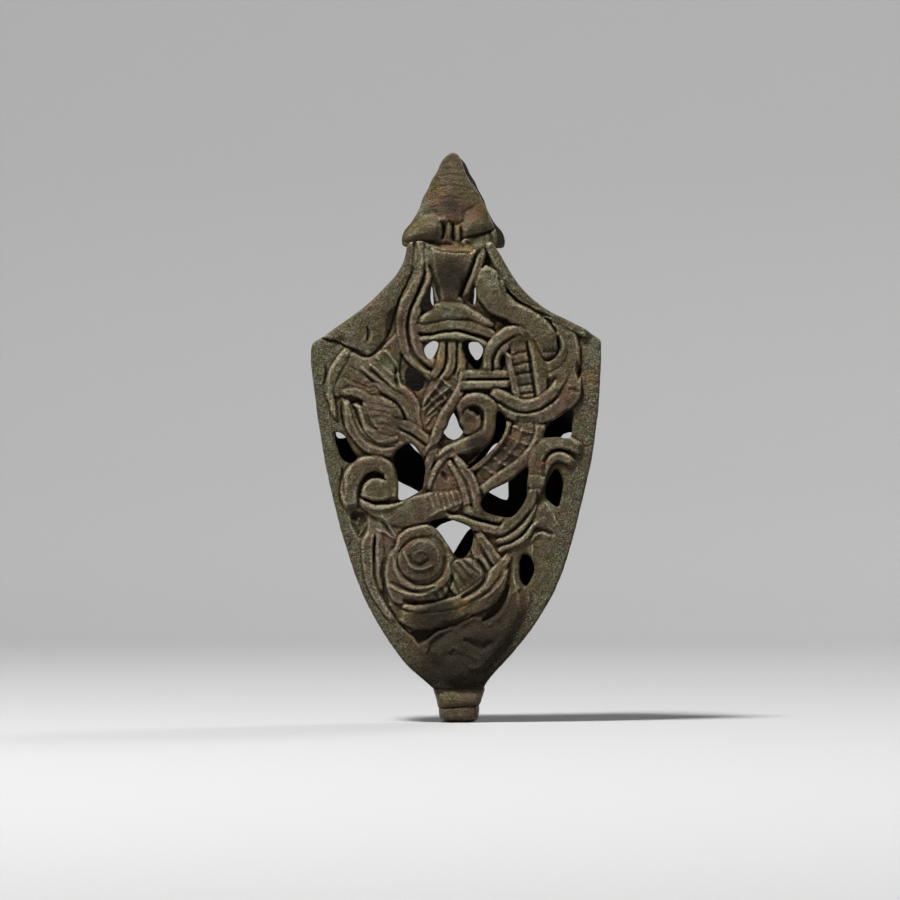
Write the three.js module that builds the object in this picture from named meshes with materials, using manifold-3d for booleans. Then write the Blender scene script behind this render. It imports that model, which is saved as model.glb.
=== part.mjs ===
// A Viking-age openwork scabbard chape, cast in bronze.
//
// Two cast faces with the same ribbon-animal ornament are joined by side walls and a foot, and an
// animal head rises from each face. The scabbard's tip goes in from above, between the two heads.
// Millimetres, +Z up, front face towards -Y. The origin is at the middle of the knob's end.

import * as THREE from "three";
import { mergeVertices } from "three/addons/utils/BufferGeometryUtils.js";
import Module from "manifold-3d";

const wasm = await Module();
wasm.setup();

// Driving dimensions.
const CHAPE_HEIGHT = 84;
const SOCKET_DEPTH = 8.4;
const FACE_THICKNESS = 1.3;
const SIDE_WALL_THICKNESS = 1.9;
const SOCKET_FLOOR_HEIGHT = 10.5;
const RIM_RELIEF = 0.6;
const LOW_RELIEF = 0.7;
const MIDDLE_RELIEF = 1.05;
const HIGH_RELIEF = 1.4;
const HEAD_THICKNESS = 1.5;
const HEAD_RELIEF = 1.2;
const KNOB_DEPTH = 6;
const SEAM = 0.15;
const MERGE_DISTANCE = 0.0002;

// The faces lean towards each other: this share of a depth at the heads' tips is left at z = 0.
const FOOT_DEPTH_SHARE = 0.62;

// How finely curved forms are drawn: the length of one step of a ribbon, and the knob's sides.
const RIBBON_STEP = 1.6;
const KNOB_SIDES = 20;

// A ribbon's section as shares of its width and height: a flat base, sloping sides and a ridge.
const RIBBON_SECTION_SHARES = [[-0.5, 0], [0.5, 0], [0.5, 0.45], [0, 1], [-0.5, 0.45]];

// A patch's rings as shares of its height, and how far its top is drawn in, as a share of height.
const PATCH_SHOULDER_SHARE = 0.5;
const PATCH_INSET_SHARE = 0.45;

// The photograph's frame, in columns and rows. The rows of the heads' tips and of the knob's end
// give the size of one pixel on the object.
const TOP_ROW_PIXELS = 154;
const END_ROW_PIXELS = 722;
const AXIS_COLUMN_PIXELS = 456;
const HEAD_AXIS_COLUMN_PIXELS = 453.5;
const PIXEL = CHAPE_HEIGHT / (END_ROW_PIXELS - TOP_ROW_PIXELS);
const RIM_WIDTH_PIXELS = 15.5;

// The body's sides below the mouth, from the shoulder's corner down to the knob.
const LEFT_SIDE_PIXELS = [
  [322, 337], [313, 343], [310, 353], [311, 372], [315, 400], [319, 430], [326, 470], [333, 502],
  [342, 536], [352, 568], [363, 596], [376, 622], [395, 651], [408, 667], [424, 681], [434, 690],
];
const RIGHT_SIDE_PIXELS = [
  [596, 336], [601, 341], [602, 354], [601, 376], [599, 406], [594, 448], [587, 484], [577, 525],
  [566, 564], [553, 595], [536, 624], [515, 651], [506, 661], [494, 674], [487, 683], [484, 690],
];

// The lower corners of the solid foot, between the side walls' ends.
const FOOT_END_PIXELS = [[446, 690], [470, 690]];

// A face's free edges at the mouth, and the line along which the head grows out of the face.
const LEFT_MOUTH_PIXELS = [
  [406, 254], [403, 264], [396, 276], [385, 288], [370, 303], [352, 317], [335, 329],
];
const RIGHT_MOUTH_PIXELS = [
  [501, 257], [509, 271], [520, 287], [533, 300], [548, 311], [568, 321], [584, 329],
];
const CHIN_PIXELS = [
  [497, 251], [484, 254], [470, 258], [455, 260], [440, 258], [430, 253], [418, 252],
];

// The holes that go through a face.
const HOLES_PIXELS = [
  [[431, 286], [433, 300], [433, 309], [428, 312], [422, 308], [425, 298]],
  [[475, 285], [476, 298], [473, 305], [468, 300], [471, 291]],
  [[425, 343], [437, 342], [437, 351], [431, 360], [425, 354]],
  [[463, 342], [474, 341], [482, 347], [483, 358], [478, 370], [470, 365], [465, 355]],
  [[407, 370], [414, 369], [422, 376], [424, 386], [418, 392], [410, 389], [406, 380]],
  [[503, 354], [505, 360], [503, 368], [500, 367], [501, 358]],
  [[457, 410], [458, 422], [463, 431], [459, 438], [450, 440], [443, 434], [447, 427], [451, 417]],
  [[497, 411], [505, 418], [504, 431], [496, 445], [484, 457], [471, 468], [468, 467], [481, 453],
    [491, 441], [495, 428]],
  [[571, 410], [572, 425], [570, 438], [556, 437], [543, 437], [548, 425], [559, 417]],
  [[334, 433], [344, 435], [352, 450], [358, 458], [351, 463], [343, 459], [337, 446]],
  [[404, 445], [413, 446], [424, 462], [424, 478], [420, 491], [400, 500], [399, 480], [393, 457]],
  [[490, 491], [509, 481], [527, 467], [526, 486], [525, 498], [511, 517], [488, 512], [481, 503]],
  [[556, 469], [562, 481], [561, 496], [557, 507], [547, 499], [545, 490], [549, 477]],
  [[430, 523], [444, 518], [460, 522], [472, 530], [472, 546], [465, 557], [457, 557], [448, 545],
    [440, 532]],
  [[523, 554], [531, 558], [534, 570], [530, 581], [525, 586], [520, 577], [520, 562]],
];

// The ornament's motifs, in pixels. A ribbon follows a line and has a width at each of its points.
// A patch is a flat-topped form inside an outline.
const ORNAMENT_PIXELS = {
  neck: {
    relief: MIDDLE_RELIEF,
    patches: [
      [[431, 261], [440, 264], [455, 266], [470, 264], [476, 262], [470, 277], [462, 306],
        [440, 306], [435, 282]],
    ],
    ribbons: [
      {
        line: [[423, 320], [432, 315], [445, 311], [458, 311], [471, 314], [481, 320], [491, 327]],
        widths: [7, 13, 16, 16, 15, 13, 7],
      },
      {
        line: [[420, 329], [431, 327], [445, 325], [460, 325], [473, 328], [484, 334]],
        widths: [9, 12, 13, 13, 13, 8],
      },
      {
        line: [[422, 337], [433, 336], [445, 334], [458, 334], [470, 337], [483, 343]],
        widths: [5, 7, 8, 8, 8, 5],
      },
    ],
  },
  left_tendril: {
    relief: LOW_RELIEF,
    ribbons: [
      {
        line: [[419, 258], [416, 276], [409, 293], [404, 310], [402, 328], [403, 345], [409, 359],
          [419, 369], [430, 376]],
        widths: [7, 10, 10, 10, 10, 10, 9, 8, 6],
      },
      {
        line: [[426, 272], [422, 290], [416, 305], [412, 320], [412, 336], [415, 350], [423, 361],
          [434, 368]],
        widths: [6, 9, 9, 9, 9, 9, 8, 6],
      },
    ],
  },
  shoulder_lobe: {
    relief: LOW_RELIEF,
    patches: [
      [[408, 268], [411, 277], [402, 289], [395, 303], [391, 322], [380, 343], [369, 352],
        [352, 346], [338, 338], [352, 327], [374, 309], [392, 290]],
    ],
  },
  right_limb: {
    relief: HIGH_RELIEF,
    ribbons: [
      {
        line: [[486, 282], [491, 294], [502, 305], [517, 313], [530, 322], [539, 334], [546, 346],
          [550, 355]],
        widths: [14, 24, 21, 18, 19, 22, 20, 12],
      },
    ],
  },
  right_ring: {
    relief: MIDDLE_RELIEF,
    ribbons: [
      {
        line: [[490, 370], [493, 356], [500, 345], [510, 338], [521, 335]],
        widths: [12, 13, 13, 12, 9],
      },
      {
        line: [[518, 338], [521, 356], [525, 375], [528, 390], [530, 407]],
        widths: [12, 24, 30, 28, 22],
      },
      {
        line: [[492, 402], [503, 408], [515, 413], [528, 415], [541, 412], [553, 404], [564, 393]],
        widths: [12, 15, 17, 17, 17, 15, 10],
      },
    ],
  },
  right_hip: {
    relief: LOW_RELIEF,
    patches: [
      [[565, 334], [574, 343], [577, 360], [576, 380], [571, 390], [558, 392], [549, 396],
        [547, 382], [545, 370], [558, 366], [566, 354]],
    ],
  },
  cross_bars: {
    relief: LOW_RELIEF,
    ribbons: [
      { line: [[466, 376], [480, 376], [495, 376], [509, 376]], widths: [7, 8, 8, 7] },
      { line: [[465, 385], [480, 385], [495, 385], [509, 386]], widths: [11, 12, 12, 11] },
    ],
  },
  hatched_neck: {
    relief: MIDDLE_RELIEF,
    ribbons: [
      {
        line: [[451, 344], [450, 360], [447, 376], [441, 391], [434, 406], [428, 420], [425, 432]],
        widths: [22, 24, 28, 30, 28, 22, 10],
      },
    ],
  },
  centre_curl: {
    relief: HIGH_RELIEF,
    ribbons: [
      {
        line: [[436, 455], [446, 448], [458, 445], [471, 441], [483, 433], [489, 422], [488, 410],
          [478, 403], [468, 405], [463, 415], [467, 424], [474, 426]],
        widths: [8, 12, 13, 13, 13, 13, 13, 12, 11, 10, 9, 6],
      },
    ],
  },
  left_leaf: {
    relief: LOW_RELIEF,
    patches: [
      [[370, 400], [384, 399], [396, 407], [402, 419], [401, 434], [396, 442], [384, 442],
        [374, 435], [367, 422]],
    ],
    ribbons: [
      {
        line: [[345, 355], [337, 368], [333, 383], [337, 398], [344, 413], [352, 427], [362, 439],
          [375, 447], [388, 450], [400, 446]],
        widths: [5, 8, 9, 9, 10, 10, 11, 11, 9, 6],
      },
      {
        line: [[357, 404], [361, 415], [367, 428], [376, 438], [388, 443]],
        widths: [6, 9, 10, 10, 6],
      },
    ],
  },
  shoulder_strand: {
    relief: MIDDLE_RELIEF,
    ribbons: [
      {
        line: [[373, 366], [384, 377], [395, 388], [405, 401], [412, 415], [418, 428]],
        widths: [14, 15, 14, 13, 11, 7],
      },
    ],
  },
  leaf_stem: {
    relief: LOW_RELIEF,
    ribbons: [
      { line: [[404, 432], [412, 436], [422, 443], [431, 452]], widths: [6, 9, 9, 7] },
    ],
  },
  hatched_body: {
    relief: MIDDLE_RELIEF,
    ribbons: [
      {
        line: [[525, 426], [519, 440], [509, 454], [496, 466], [483, 478]],
        widths: [28, 34, 34, 30, 22],
      },
    ],
  },
  crossing_strand: {
    relief: HIGH_RELIEF,
    ribbons: [
      {
        line: [[449, 462], [458, 471], [466, 482], [471, 495], [476, 508], [488, 517], [504, 523]],
        widths: [10, 14, 15, 15, 14, 12, 8],
      },
      { line: [[452, 515], [464, 521], [479, 526], [494, 529], [507, 526]], widths: [6, 8, 9, 9, 6] },
      { line: [[453, 460], [441, 460], [433, 468], [429, 480], [428, 490]], widths: [6, 8, 9, 9, 6] },
    ],
  },
  lower_limb: {
    relief: MIDDLE_RELIEF,
    ribbons: [
      {
        line: [[458, 488], [450, 495], [436, 504], [421, 511], [405, 514], [389, 511], [374, 506],
          [362, 501]],
        widths: [18, 22, 24, 24, 20, 14, 9, 5],
      },
    ],
  },
  left_spiral: {
    relief: LOW_RELIEF,
    ribbons: [
      {
        line: [[352, 497], [351, 486], [355, 474], [364, 466], [376, 464], [387, 468], [392, 478],
          [392, 490], [384, 496], [375, 493], [371, 484]],
        widths: [9, 12, 13, 13, 13, 12, 11, 11, 10, 9, 7],
      },
    ],
  },
  right_tendril: {
    relief: HIGH_RELIEF,
    ribbons: [
      {
        line: [[571, 451], [562, 446], [552, 447], [544, 454], [539, 466], [537, 480], [535, 493]],
        widths: [10, 13, 15, 15, 14, 17, 11],
      },
    ],
  },
  feather_strands: {
    relief: MIDDLE_RELIEF,
    ribbons: [
      {
        line: [[532, 500], [526, 512], [517, 523], [507, 533], [498, 541]],
        widths: [9, 11, 11, 10, 7],
      },
      {
        line: [[540, 503], [535, 518], [525, 531], [513, 541], [501, 548]],
        widths: [9, 11, 11, 10, 7],
      },
      {
        line: [[543, 502], [551, 516], [556, 532], [553, 547], [544, 560], [540, 576]],
        widths: [8, 12, 14, 15, 12, 7],
      },
    ],
  },
  hip_spiral: {
    relief: HIGH_RELIEF,
    patches: [
      [[422, 539], [435, 543], [443, 553], [444, 565], [438, 576], [426, 582], [412, 580],
        [402, 571], [400, 558], [407, 545]],
    ],
    ribbons: [
      {
        line: [[404, 538], [416, 532], [430, 532], [441, 540], [448, 552], [450, 566], [445, 578],
          [434, 587], [420, 590], [406, 586], [396, 576], [394, 562]],
        widths: [7, 11, 12, 12, 12, 12, 12, 12, 12, 12, 11, 8],
      },
    ],
  },
  hip_fan: {
    relief: LOW_RELIEF,
    patches: [
      [[456, 560], [467, 560], [477, 565], [482, 573], [476, 585], [465, 595], [452, 597],
        [446, 590], [454, 578]],
    ],
  },
  leaf_bands: {
    relief: MIDDLE_RELIEF,
    ribbons: [
      { line: [[477, 532], [484, 546], [493, 559], [505, 569]], widths: [8, 11, 12, 12] },
      {
        line: [[513, 566], [504, 577], [493, 588], [480, 596], [465, 603], [448, 606], [430, 606],
          [413, 605]],
        widths: [9, 12, 12, 12, 11, 10, 10, 7],
      },
      {
        line: [[511, 581], [501, 592], [488, 603], [470, 611], [450, 616], [430, 618], [412, 617]],
        widths: [7, 10, 12, 13, 14, 14, 9],
      },
    ],
  },
  long_strand: {
    relief: LOW_RELIEF,
    ribbons: [
      {
        line: [[378, 522], [373, 540], [372, 560], [374, 578], [380, 595], [390, 611], [402, 626]],
        widths: [8, 12, 12, 12, 12, 11, 6],
      },
    ],
  },
  foot_lobe: {
    relief: MIDDLE_RELIEF,
    patches: [
      [[424, 648], [437, 639], [452, 633], [467, 627], [482, 627], [496, 620], [507, 607],
        [516, 597], [526, 600], [521, 618], [509, 636], [495, 650], [478, 661], [460, 666],
        [441, 663]],
    ],
  },
};

// A head: a plate, and on it a triangular snout, two eye lobes, a nose and a chin.
const HEAD_OUTLINE_PIXELS = [
  [453, 154], [447, 157], [439, 167], [432, 180], [423, 199], [415, 217], [411, 226], [404, 233],
  [402, 241], [405, 251], [419, 249], [431, 250], [441, 255], [455, 257], [469, 255], [483, 251],
  [496, 248], [495, 238], [491, 224], [486, 208], [479, 195], [471, 181], [464, 167], [459, 156],
];
const HEAD_PATCHES_PIXELS = [
  [[453, 160], [442, 172], [432, 193], [424, 209], [437, 206], [446, 212], [450, 221], [457, 225],
    [464, 220], [467, 211], [482, 213], [477, 199], [467, 181], [458, 165]],
  [[405, 238], [411, 229], [421, 222], [431, 219], [440, 226], [438, 235], [424, 240]],
  [[463, 236], [466, 223], [477, 219], [491, 229], [479, 234], [470, 239]],
];
const HEAD_RIBBONS_PIXELS = [
  { line: [[457, 223], [457, 232], [457, 242]], widths: [10, 12, 10] },
  { line: [[412, 245], [428, 245], [442, 249], [456, 250], [470, 248], [486, 244]],
    widths: [4, 6, 7, 7, 7, 4] },
];

// The knob, in pixels: half-widths and rows of the collar's and the end's profiles.
const COLLAR_PROFILE_PIXELS = [[0, 691], [19, 691], [23, 694], [23, 700], [21, 703], [0, 703]];
const END_PROFILE_PIXELS = [[0, 704], [18, 704], [20, 708], [19, 716], [13, 722], [0, 722]];
const KNOB_COLUMN_PIXELS = 460;

const BRONZE = { color: 0x4d4238, roughness: 0.55, metalness: 0.75 };
const WORN_BRONZE = { color: 0x5a5745, roughness: 0.8, metalness: 0.5 };

// A face is drawn flat: X to the right, Y up, and Z outwards from the middle of the socket.
const FACE_LOW = SOCKET_DEPTH / 2;
const FACE_TOP = FACE_LOW + FACE_THICKNESS;

const toPoint = ([column, row]) =>
  new THREE.Vector2((column - AXIS_COLUMN_PIXELS) * PIXEL, (END_ROW_PIXELS - row) * PIXEL);
const mirrored = (pixels) =>
  pixels.map(([column, row]) => [2 * AXIS_COLUMN_PIXELS - column, row]);

// The share of its depth that a point keeps at height y.
const depthShareAt = (y) => FOOT_DEPTH_SHARE + (1 - FOOT_DEPTH_SHARE) * (y / CHAPE_HEIGHT);

function toSolid(geometry) {
  const bare = geometry.clone();
  bare.deleteAttribute("normal");
  bare.deleteAttribute("uv");
  const merged = mergeVertices(bare, MERGE_DISTANCE);
  return new wasm.Manifold(new wasm.Mesh({
    numProp: 3,
    vertProperties: new Float32Array(merged.attributes.position.array),
    triVerts: new Uint32Array(merged.index.array),
  }));
}

function toGeometry(solid) {
  const { vertProperties, triVerts } = solid.getMesh();
  const geometry = new THREE.BufferGeometry();
  geometry.setAttribute("position", new THREE.BufferAttribute(new Float32Array(vertProperties), 3));
  geometry.setIndex(new THREE.BufferAttribute(new Uint32Array(triVerts), 1));
  return geometry;
}

const joinAll = (solids) => solids.reduce((joined, solid) => joined.add(solid));

// The direction to the right of an outline or a line at each of its points.
function sidewaysAt(points, index, closed) {
  const count = points.length;
  const before = points[closed ? (index + count - 1) % count : Math.max(index - 1, 0)];
  const after = points[closed ? (index + 1) % count : Math.min(index + 1, count - 1)];
  const incoming = points[index].clone().sub(before).normalize();
  const outgoing = after.clone().sub(points[index]).normalize();
  const along = incoming.add(outgoing).normalize();
  return new THREE.Vector2(along.y, -along.x);
}

// Moves a line's points to its right by a distance, or to its left if that is negative.
const shifted = (points, distance, closed = false) =>
  points.map((point, index) => point.clone().addScaledVector(sidewaysAt(points, index, closed), distance));

// Makes an outline larger by a distance, or smaller if that is negative.
const grown = (outline, distance) =>
  shifted(outline, THREE.ShapeUtils.area(outline) > 0 ? distance : -distance, true);

// A closed body through rings that have the same number of points, with a cap on each end.
function loft(rings, capFaces) {
  const count = rings[0].length;
  const faces = [];
  for (let ring = 0; ring < rings.length - 1; ring += 1) {
    for (let corner = 0; corner < count; corner += 1) {
      const here = ring * count + corner;
      const next = ring * count + (corner + 1) % count;
      faces.push(here, next, next + count, here, next + count, here + count);
    }
  }
  const last = (rings.length - 1) * count;
  for (const [first, second, third] of capFaces) {
    faces.push(first, third, second, last + first, last + second, last + third);
  }
  const geometry = new THREE.BufferGeometry();
  geometry.setFromPoints(rings.flat());
  geometry.setIndex(faces);
  return toSolid(geometry);
}

// A straight-sided plate inside an outline, with holes if there are any.
function plate(outline, low, high, holes = []) {
  const shape = new THREE.Shape(outline);
  shape.holes = holes.map((hole) => new THREE.Path(hole));
  const geometry = new THREE.ExtrudeGeometry(shape, { depth: high - low, bevelEnabled: false });
  return toSolid(geometry.translate(0, 0, low));
}

// A form inside an outline whose top is drawn in. Clearance makes it larger all round.
function patch(outline, low, relief, clearance) {
  const points = THREE.ShapeUtils.area(outline) > 0 ? outline : outline.slice().reverse();
  const base = grown(points, clearance);
  const top = grown(points, clearance - relief * PATCH_INSET_SHARE);
  const ringAt = (ring, z) => ring.map(({ x, y }) => new THREE.Vector3(x, y, z));
  const rings = [
    ringAt(base, low - clearance),
    ringAt(base, low + relief * PATCH_SHOULDER_SHARE + clearance),
    ringAt(top, low + relief + clearance),
  ];
  return loft(rings, THREE.ShapeUtils.triangulateShape(base, []));
}

// A ribbon along a line of points, with a width at each of them. Clearance makes it larger.
function ribbon(line, widths, low, relief, clearance) {
  const points = line.map(({ x, y }) => new THREE.Vector3(x, y, 0));
  if (clearance > 0) {
    const [first, second] = points;
    const [nextToLast, last] = points.slice(-2);
    first.add(first.clone().sub(second).setLength(clearance));
    last.add(last.clone().sub(nextToLast).setLength(clearance));
  }
  const curve = new THREE.CatmullRomCurve3(points, false, "centripetal");
  const steps = Math.max(2, Math.round(curve.getLength() / RIBBON_STEP));
  const rings = [];
  for (let step = 0; step <= steps; step += 1) {
    const centre = curve.getPointAt(step / steps);
    const along = curve.getTangentAt(step / steps);
    const place = curve.getUtoTmapping(step / steps) * (widths.length - 1);
    const index = Math.min(Math.floor(place), widths.length - 2);
    const width = THREE.MathUtils.lerp(widths[index], widths[index + 1], place - index);
    rings.push(RIBBON_SECTION_SHARES.map(([widthShare, heightShare]) => {
      const side = widthShare * (width + 2 * clearance);
      const z = heightShare > 0 ? low + heightShare * relief + clearance : low - clearance;
      return new THREE.Vector3(centre.x - side * along.y, centre.y + side * along.x, z);
    }));
  }
  const capFaces = RIBBON_SECTION_SHARES.slice(2).map((_, index) => [0, index + 1, index + 2]);
  return loft(rings, capFaces);
}

// One motif, its ribbons and patches joined into one body that stands on a surface at height low.
function motif({ relief, ribbons = [], patches = [] }, low, clearance) {
  return joinAll([
    ...ribbons.map(({ line, widths }) =>
      ribbon(line.map(toPoint), widths.map((width) => width * PIXEL), low, relief, clearance)),
    ...patches.map((outline) => patch(outline.map(toPoint), low, relief, clearance)),
  ]);
}

// The raised border along one side of a face.
function rim(side, towardsMiddle, clearance) {
  const width = RIM_WIDTH_PIXELS * PIXEL;
  const line = shifted(side, towardsMiddle * width / 2);
  const widths = line.map(() => width);
  return ribbon(line, widths, FACE_TOP + SEAM, RIM_RELIEF, clearance);
}

// The rims and motifs of one face. A lower form comes first, and a higher one is cut to pass over
// or beside it with a seam between.
function faceRelief(leftSide, rightSide) {
  const forms = Object.entries(ORNAMENT_PIXELS)
    .sort(([, one], [, other]) => one.relief - other.relief)
    .map(([name, spec]) => [name, (clearance) => motif(spec, FACE_TOP + SEAM, clearance)]);
  forms.unshift(
    ["left_rim", (clearance) => rim(leftSide, -1, clearance)],
    ["right_rim", (clearance) => rim(rightSide, 1, clearance)],
  );
  const relief = {};
  const taken = [];
  for (const [name, make] of forms) {
    relief[name] = taken.reduce((solid, other) => solid.subtract(other), make(0));
    taken.push(make(SEAM));
  }
  return relief;
}

// The plate under a face's ornament. Its sides are those of the whole body, and its mouth is its own.
function facePlate(leftSide, rightSide) {
  const outline = [
    ...CHIN_PIXELS.map(toPoint), ...LEFT_MOUTH_PIXELS.map(toPoint), ...leftSide,
    ...rightSide.slice().reverse(), ...RIGHT_MOUTH_PIXELS.slice().reverse().map(toPoint),
  ];
  return plate(outline, FACE_LOW, FACE_TOP, HOLES_PIXELS.map((hole) => hole.map(toPoint)));
}

function head() {
  const top = FACE_LOW + HEAD_THICKNESS;
  const details = { relief: HEAD_RELIEF, patches: HEAD_PATCHES_PIXELS, ribbons: HEAD_RIBBONS_PIXELS };
  const base = plate(HEAD_OUTLINE_PIXELS.map(toPoint), FACE_LOW, top);
  return base.add(motif(details, top, 0));
}

// The wall that joins the two faces along one side, from the mouth down to the knob.
function sideWall(side, towardsMiddle) {
  const inner = shifted(side, towardsMiddle * SIDE_WALL_THICKNESS);
  return plate([...side, ...inner.reverse()], SEAM - FACE_LOW, FACE_LOW - SEAM);
}

// The part of a line that lies below a height, from the point where the line passes it.
function below(line, height) {
  const index = line.findIndex(({ y }) => y < height);
  const [before, after] = [line[index - 1], line[index]];
  const start = before.clone().lerp(after, (before.y - height) / (before.y - after.y));
  return [start, ...line.slice(index)];
}

// The solid metal below the socket, between the faces and the walls.
function foot(leftSide, rightSide) {
  const inset = SIDE_WALL_THICKNESS + SEAM;
  const left = below(shifted(leftSide, -inset), SOCKET_FLOOR_HEIGHT);
  const right = below(shifted(rightSide, inset), SOCKET_FLOOR_HEIGHT);
  const outline = [...left, ...FOOT_END_PIXELS.map(toPoint), ...right.reverse()];
  return plate(outline, SEAM - FACE_LOW, FACE_LOW - SEAM);
}

// Leans a flat-drawn solid by the taper and stands it up as a piece of the front.
function stoodUp(solid) {
  const geometry = toGeometry(solid);
  const position = geometry.attributes.position;
  for (let index = 0; index < position.count; index += 1) {
    const [x, y, z] = [position.getX(index), position.getY(index), position.getZ(index)];
    position.setXYZ(index, x, -z * depthShareAt(y), y);
  }
  geometry.computeVertexNormals();
  return geometry;
}

// A round body about the chape's axis, flattened from front to back.
function turned(profilePixels) {
  const profile = profilePixels.map(([halfWidth, row]) => {
    const { y } = toPoint([AXIS_COLUMN_PIXELS, row]);
    return new THREE.Vector2(halfWidth * PIXEL, y);
  });
  const widest = Math.max(...profile.map(({ x }) => x));
  const geometry = new THREE.LatheGeometry(profile.reverse(), KNOB_SIDES);
  geometry.rotateX(Math.PI / 2);
  geometry.scale(1, KNOB_DEPTH / (2 * widest), 1);
  return toGeometry(toSolid(geometry));
}

function piece(name, geometry, finish) {
  const mesh = new THREE.Mesh(geometry, new THREE.MeshStandardMaterial(finish));
  mesh.name = name;
  return mesh;
}

// The pieces of one face, drawn as a front face. The back face is the same design turned round, but
// its sides follow the front's, so they are mirrored before it is turned.
function facePieces(side, leftSide, rightSide) {
  const pieces = new THREE.Group();
  pieces.add(piece(`${side}_face_plate`, stoodUp(facePlate(leftSide, rightSide)), BRONZE));
  for (const [name, solid] of Object.entries(faceRelief(leftSide, rightSide))) {
    const finish = name.endsWith("rim") ? WORN_BRONZE : BRONZE;
    pieces.add(piece(`${side}_${name}`, stoodUp(solid), finish));
  }
  return pieces;
}

const leftSide = LEFT_SIDE_PIXELS.map(toPoint);
const rightSide = RIGHT_SIDE_PIXELS.map(toPoint);

const chape = new THREE.Group();
chape.add(facePieces("front", leftSide, rightSide));
chape.add(piece("front_head", stoodUp(head()), BRONZE));

const backFace = facePieces(
  "back",
  mirrored(RIGHT_SIDE_PIXELS).map(toPoint),
  mirrored(LEFT_SIDE_PIXELS).map(toPoint),
);
backFace.rotation.z = Math.PI;
chape.add(backFace);

const backHead = piece("back_head", stoodUp(head()), BRONZE);
backHead.rotation.z = Math.PI;
backHead.position.x = 2 * toPoint([HEAD_AXIS_COLUMN_PIXELS, END_ROW_PIXELS]).x;
chape.add(backHead);

chape.add(piece("left_side_wall", stoodUp(sideWall(leftSide, -1)), WORN_BRONZE));
chape.add(piece("right_side_wall", stoodUp(sideWall(rightSide, 1)), WORN_BRONZE));
chape.add(piece("foot", stoodUp(foot(leftSide, rightSide)), WORN_BRONZE));

const knob = new THREE.Group();
knob.add(piece("knob_collar", turned(COLLAR_PROFILE_PIXELS), BRONZE));
knob.add(piece("knob_end", turned(END_PROFILE_PIXELS), BRONZE));
knob.position.x = toPoint([KNOB_COLUMN_PIXELS, END_ROW_PIXELS]).x;
chape.add(knob);

export default chape;
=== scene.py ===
"""The scabbard chape: its two cast openwork faces with their animal heads, the side walls between them
and the knob, dressed for the photograph. Lengths are millimetres until a mesh is made."""
import math
import bmesh
import bpy
import mathutils
import numpy as np
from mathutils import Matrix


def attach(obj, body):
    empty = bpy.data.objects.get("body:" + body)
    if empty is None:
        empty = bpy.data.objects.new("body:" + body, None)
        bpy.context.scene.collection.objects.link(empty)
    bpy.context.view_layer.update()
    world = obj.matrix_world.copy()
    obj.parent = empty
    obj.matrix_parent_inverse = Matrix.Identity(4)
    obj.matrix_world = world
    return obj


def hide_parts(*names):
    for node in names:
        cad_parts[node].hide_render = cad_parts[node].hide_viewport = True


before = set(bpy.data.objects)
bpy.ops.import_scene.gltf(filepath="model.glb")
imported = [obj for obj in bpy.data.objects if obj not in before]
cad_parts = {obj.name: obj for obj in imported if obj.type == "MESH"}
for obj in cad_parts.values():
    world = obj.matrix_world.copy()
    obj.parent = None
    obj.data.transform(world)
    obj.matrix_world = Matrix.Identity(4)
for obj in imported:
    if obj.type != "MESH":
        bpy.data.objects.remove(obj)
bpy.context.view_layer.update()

# The photograph's frame in pixels, and the size of one pixel on the object in millimetres.
TOP_ROW, END_ROW, AXIS_COLUMN = 154, 722, 456
CHAPE_HEIGHT = 84.0
PIXEL = CHAPE_HEIGHT / (END_ROW - TOP_ROW)
MILLIMETRE = 0.001

# The cast faces, in millimetres: heights are measured outwards from a face's inner side.
GRID = 0.145  # between the grid points that carry the heights
LINE_STEP, FEWEST_STEPS = 0.2, 6  # along a line: the step, and how many steps it has at least
CURVE_STEPS = 12  # from one point of a curve to the next, before it is cut into even steps
LEAST_HALF_WIDTH = 0.05  # of a line
GROUND, HEAD_GROUND = 1.45, 1.3  # before anything is laid on a face or on a head
THINNEST = 0.5  # the least height that is cast
EDGE_ROUNDING = 0.55  # the radius of the edges round a face and round its holes
EDGE_WEAR = 0.3  # how much less hollow the rounded edges count in the patina and in the painted crevice shade
FULLNESS = 3.0  # the power of the round shoulders: 2 would be a circle's quarter
END_REACH, END_FADE = 0.6, 2.4  # a strand's end sinks in over this length times this number
DIP_DEPTH, DIP_WIDTH = 0.18, 0.18  # the dip that is worn round each form
DIP_REACH = 4 * DIP_WIDTH  # where the dip has faded out
TRENCH = 0.32  # the deepest that a form cuts into what it lies on
LINE_SHARPNESS = 1.4  # how fast a groove or a ridge fades across its width
SOFTENING = 0.075  # the reach of the last blur
CREST_REACH, HOLLOW_REACH = 0.26, 0.9  # how far round a point its crest and its hollow are measured
CREST_SHARE = 1.4  # how much less hollow a crest counts
GENTLEST_SLOPE = 0.3  # the least slope that a point of the edge moves down by
EDGE_PASSES = 3  # how many times the points of the edge are moved, and its cells mended
HOLE_REACH = 6 * EDGE_ROUNDING  # how far round a hole the face's depth can depend on it
LAST_CELL = 1.001  # keeps a place inside the last cell of the grid
TINY = 1e-9  # keeps a division from failing
RIM_WIDTH = 3.0  # how far in the look of a rim is down to a half
WALL_BULGE = 0.2  # the crown of a side wall
# The waver of the hand that laid the forms, and the casting's uneven skin: height, size and seed.
HAND_WAVES = [(0.1, 2.6, 1), (0.055, 0.9, 7)]
GRAINS = [(0.04, 0.3, 3), (0.075, 0.8, 4), (0.1, 3.5, 5)]

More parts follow.
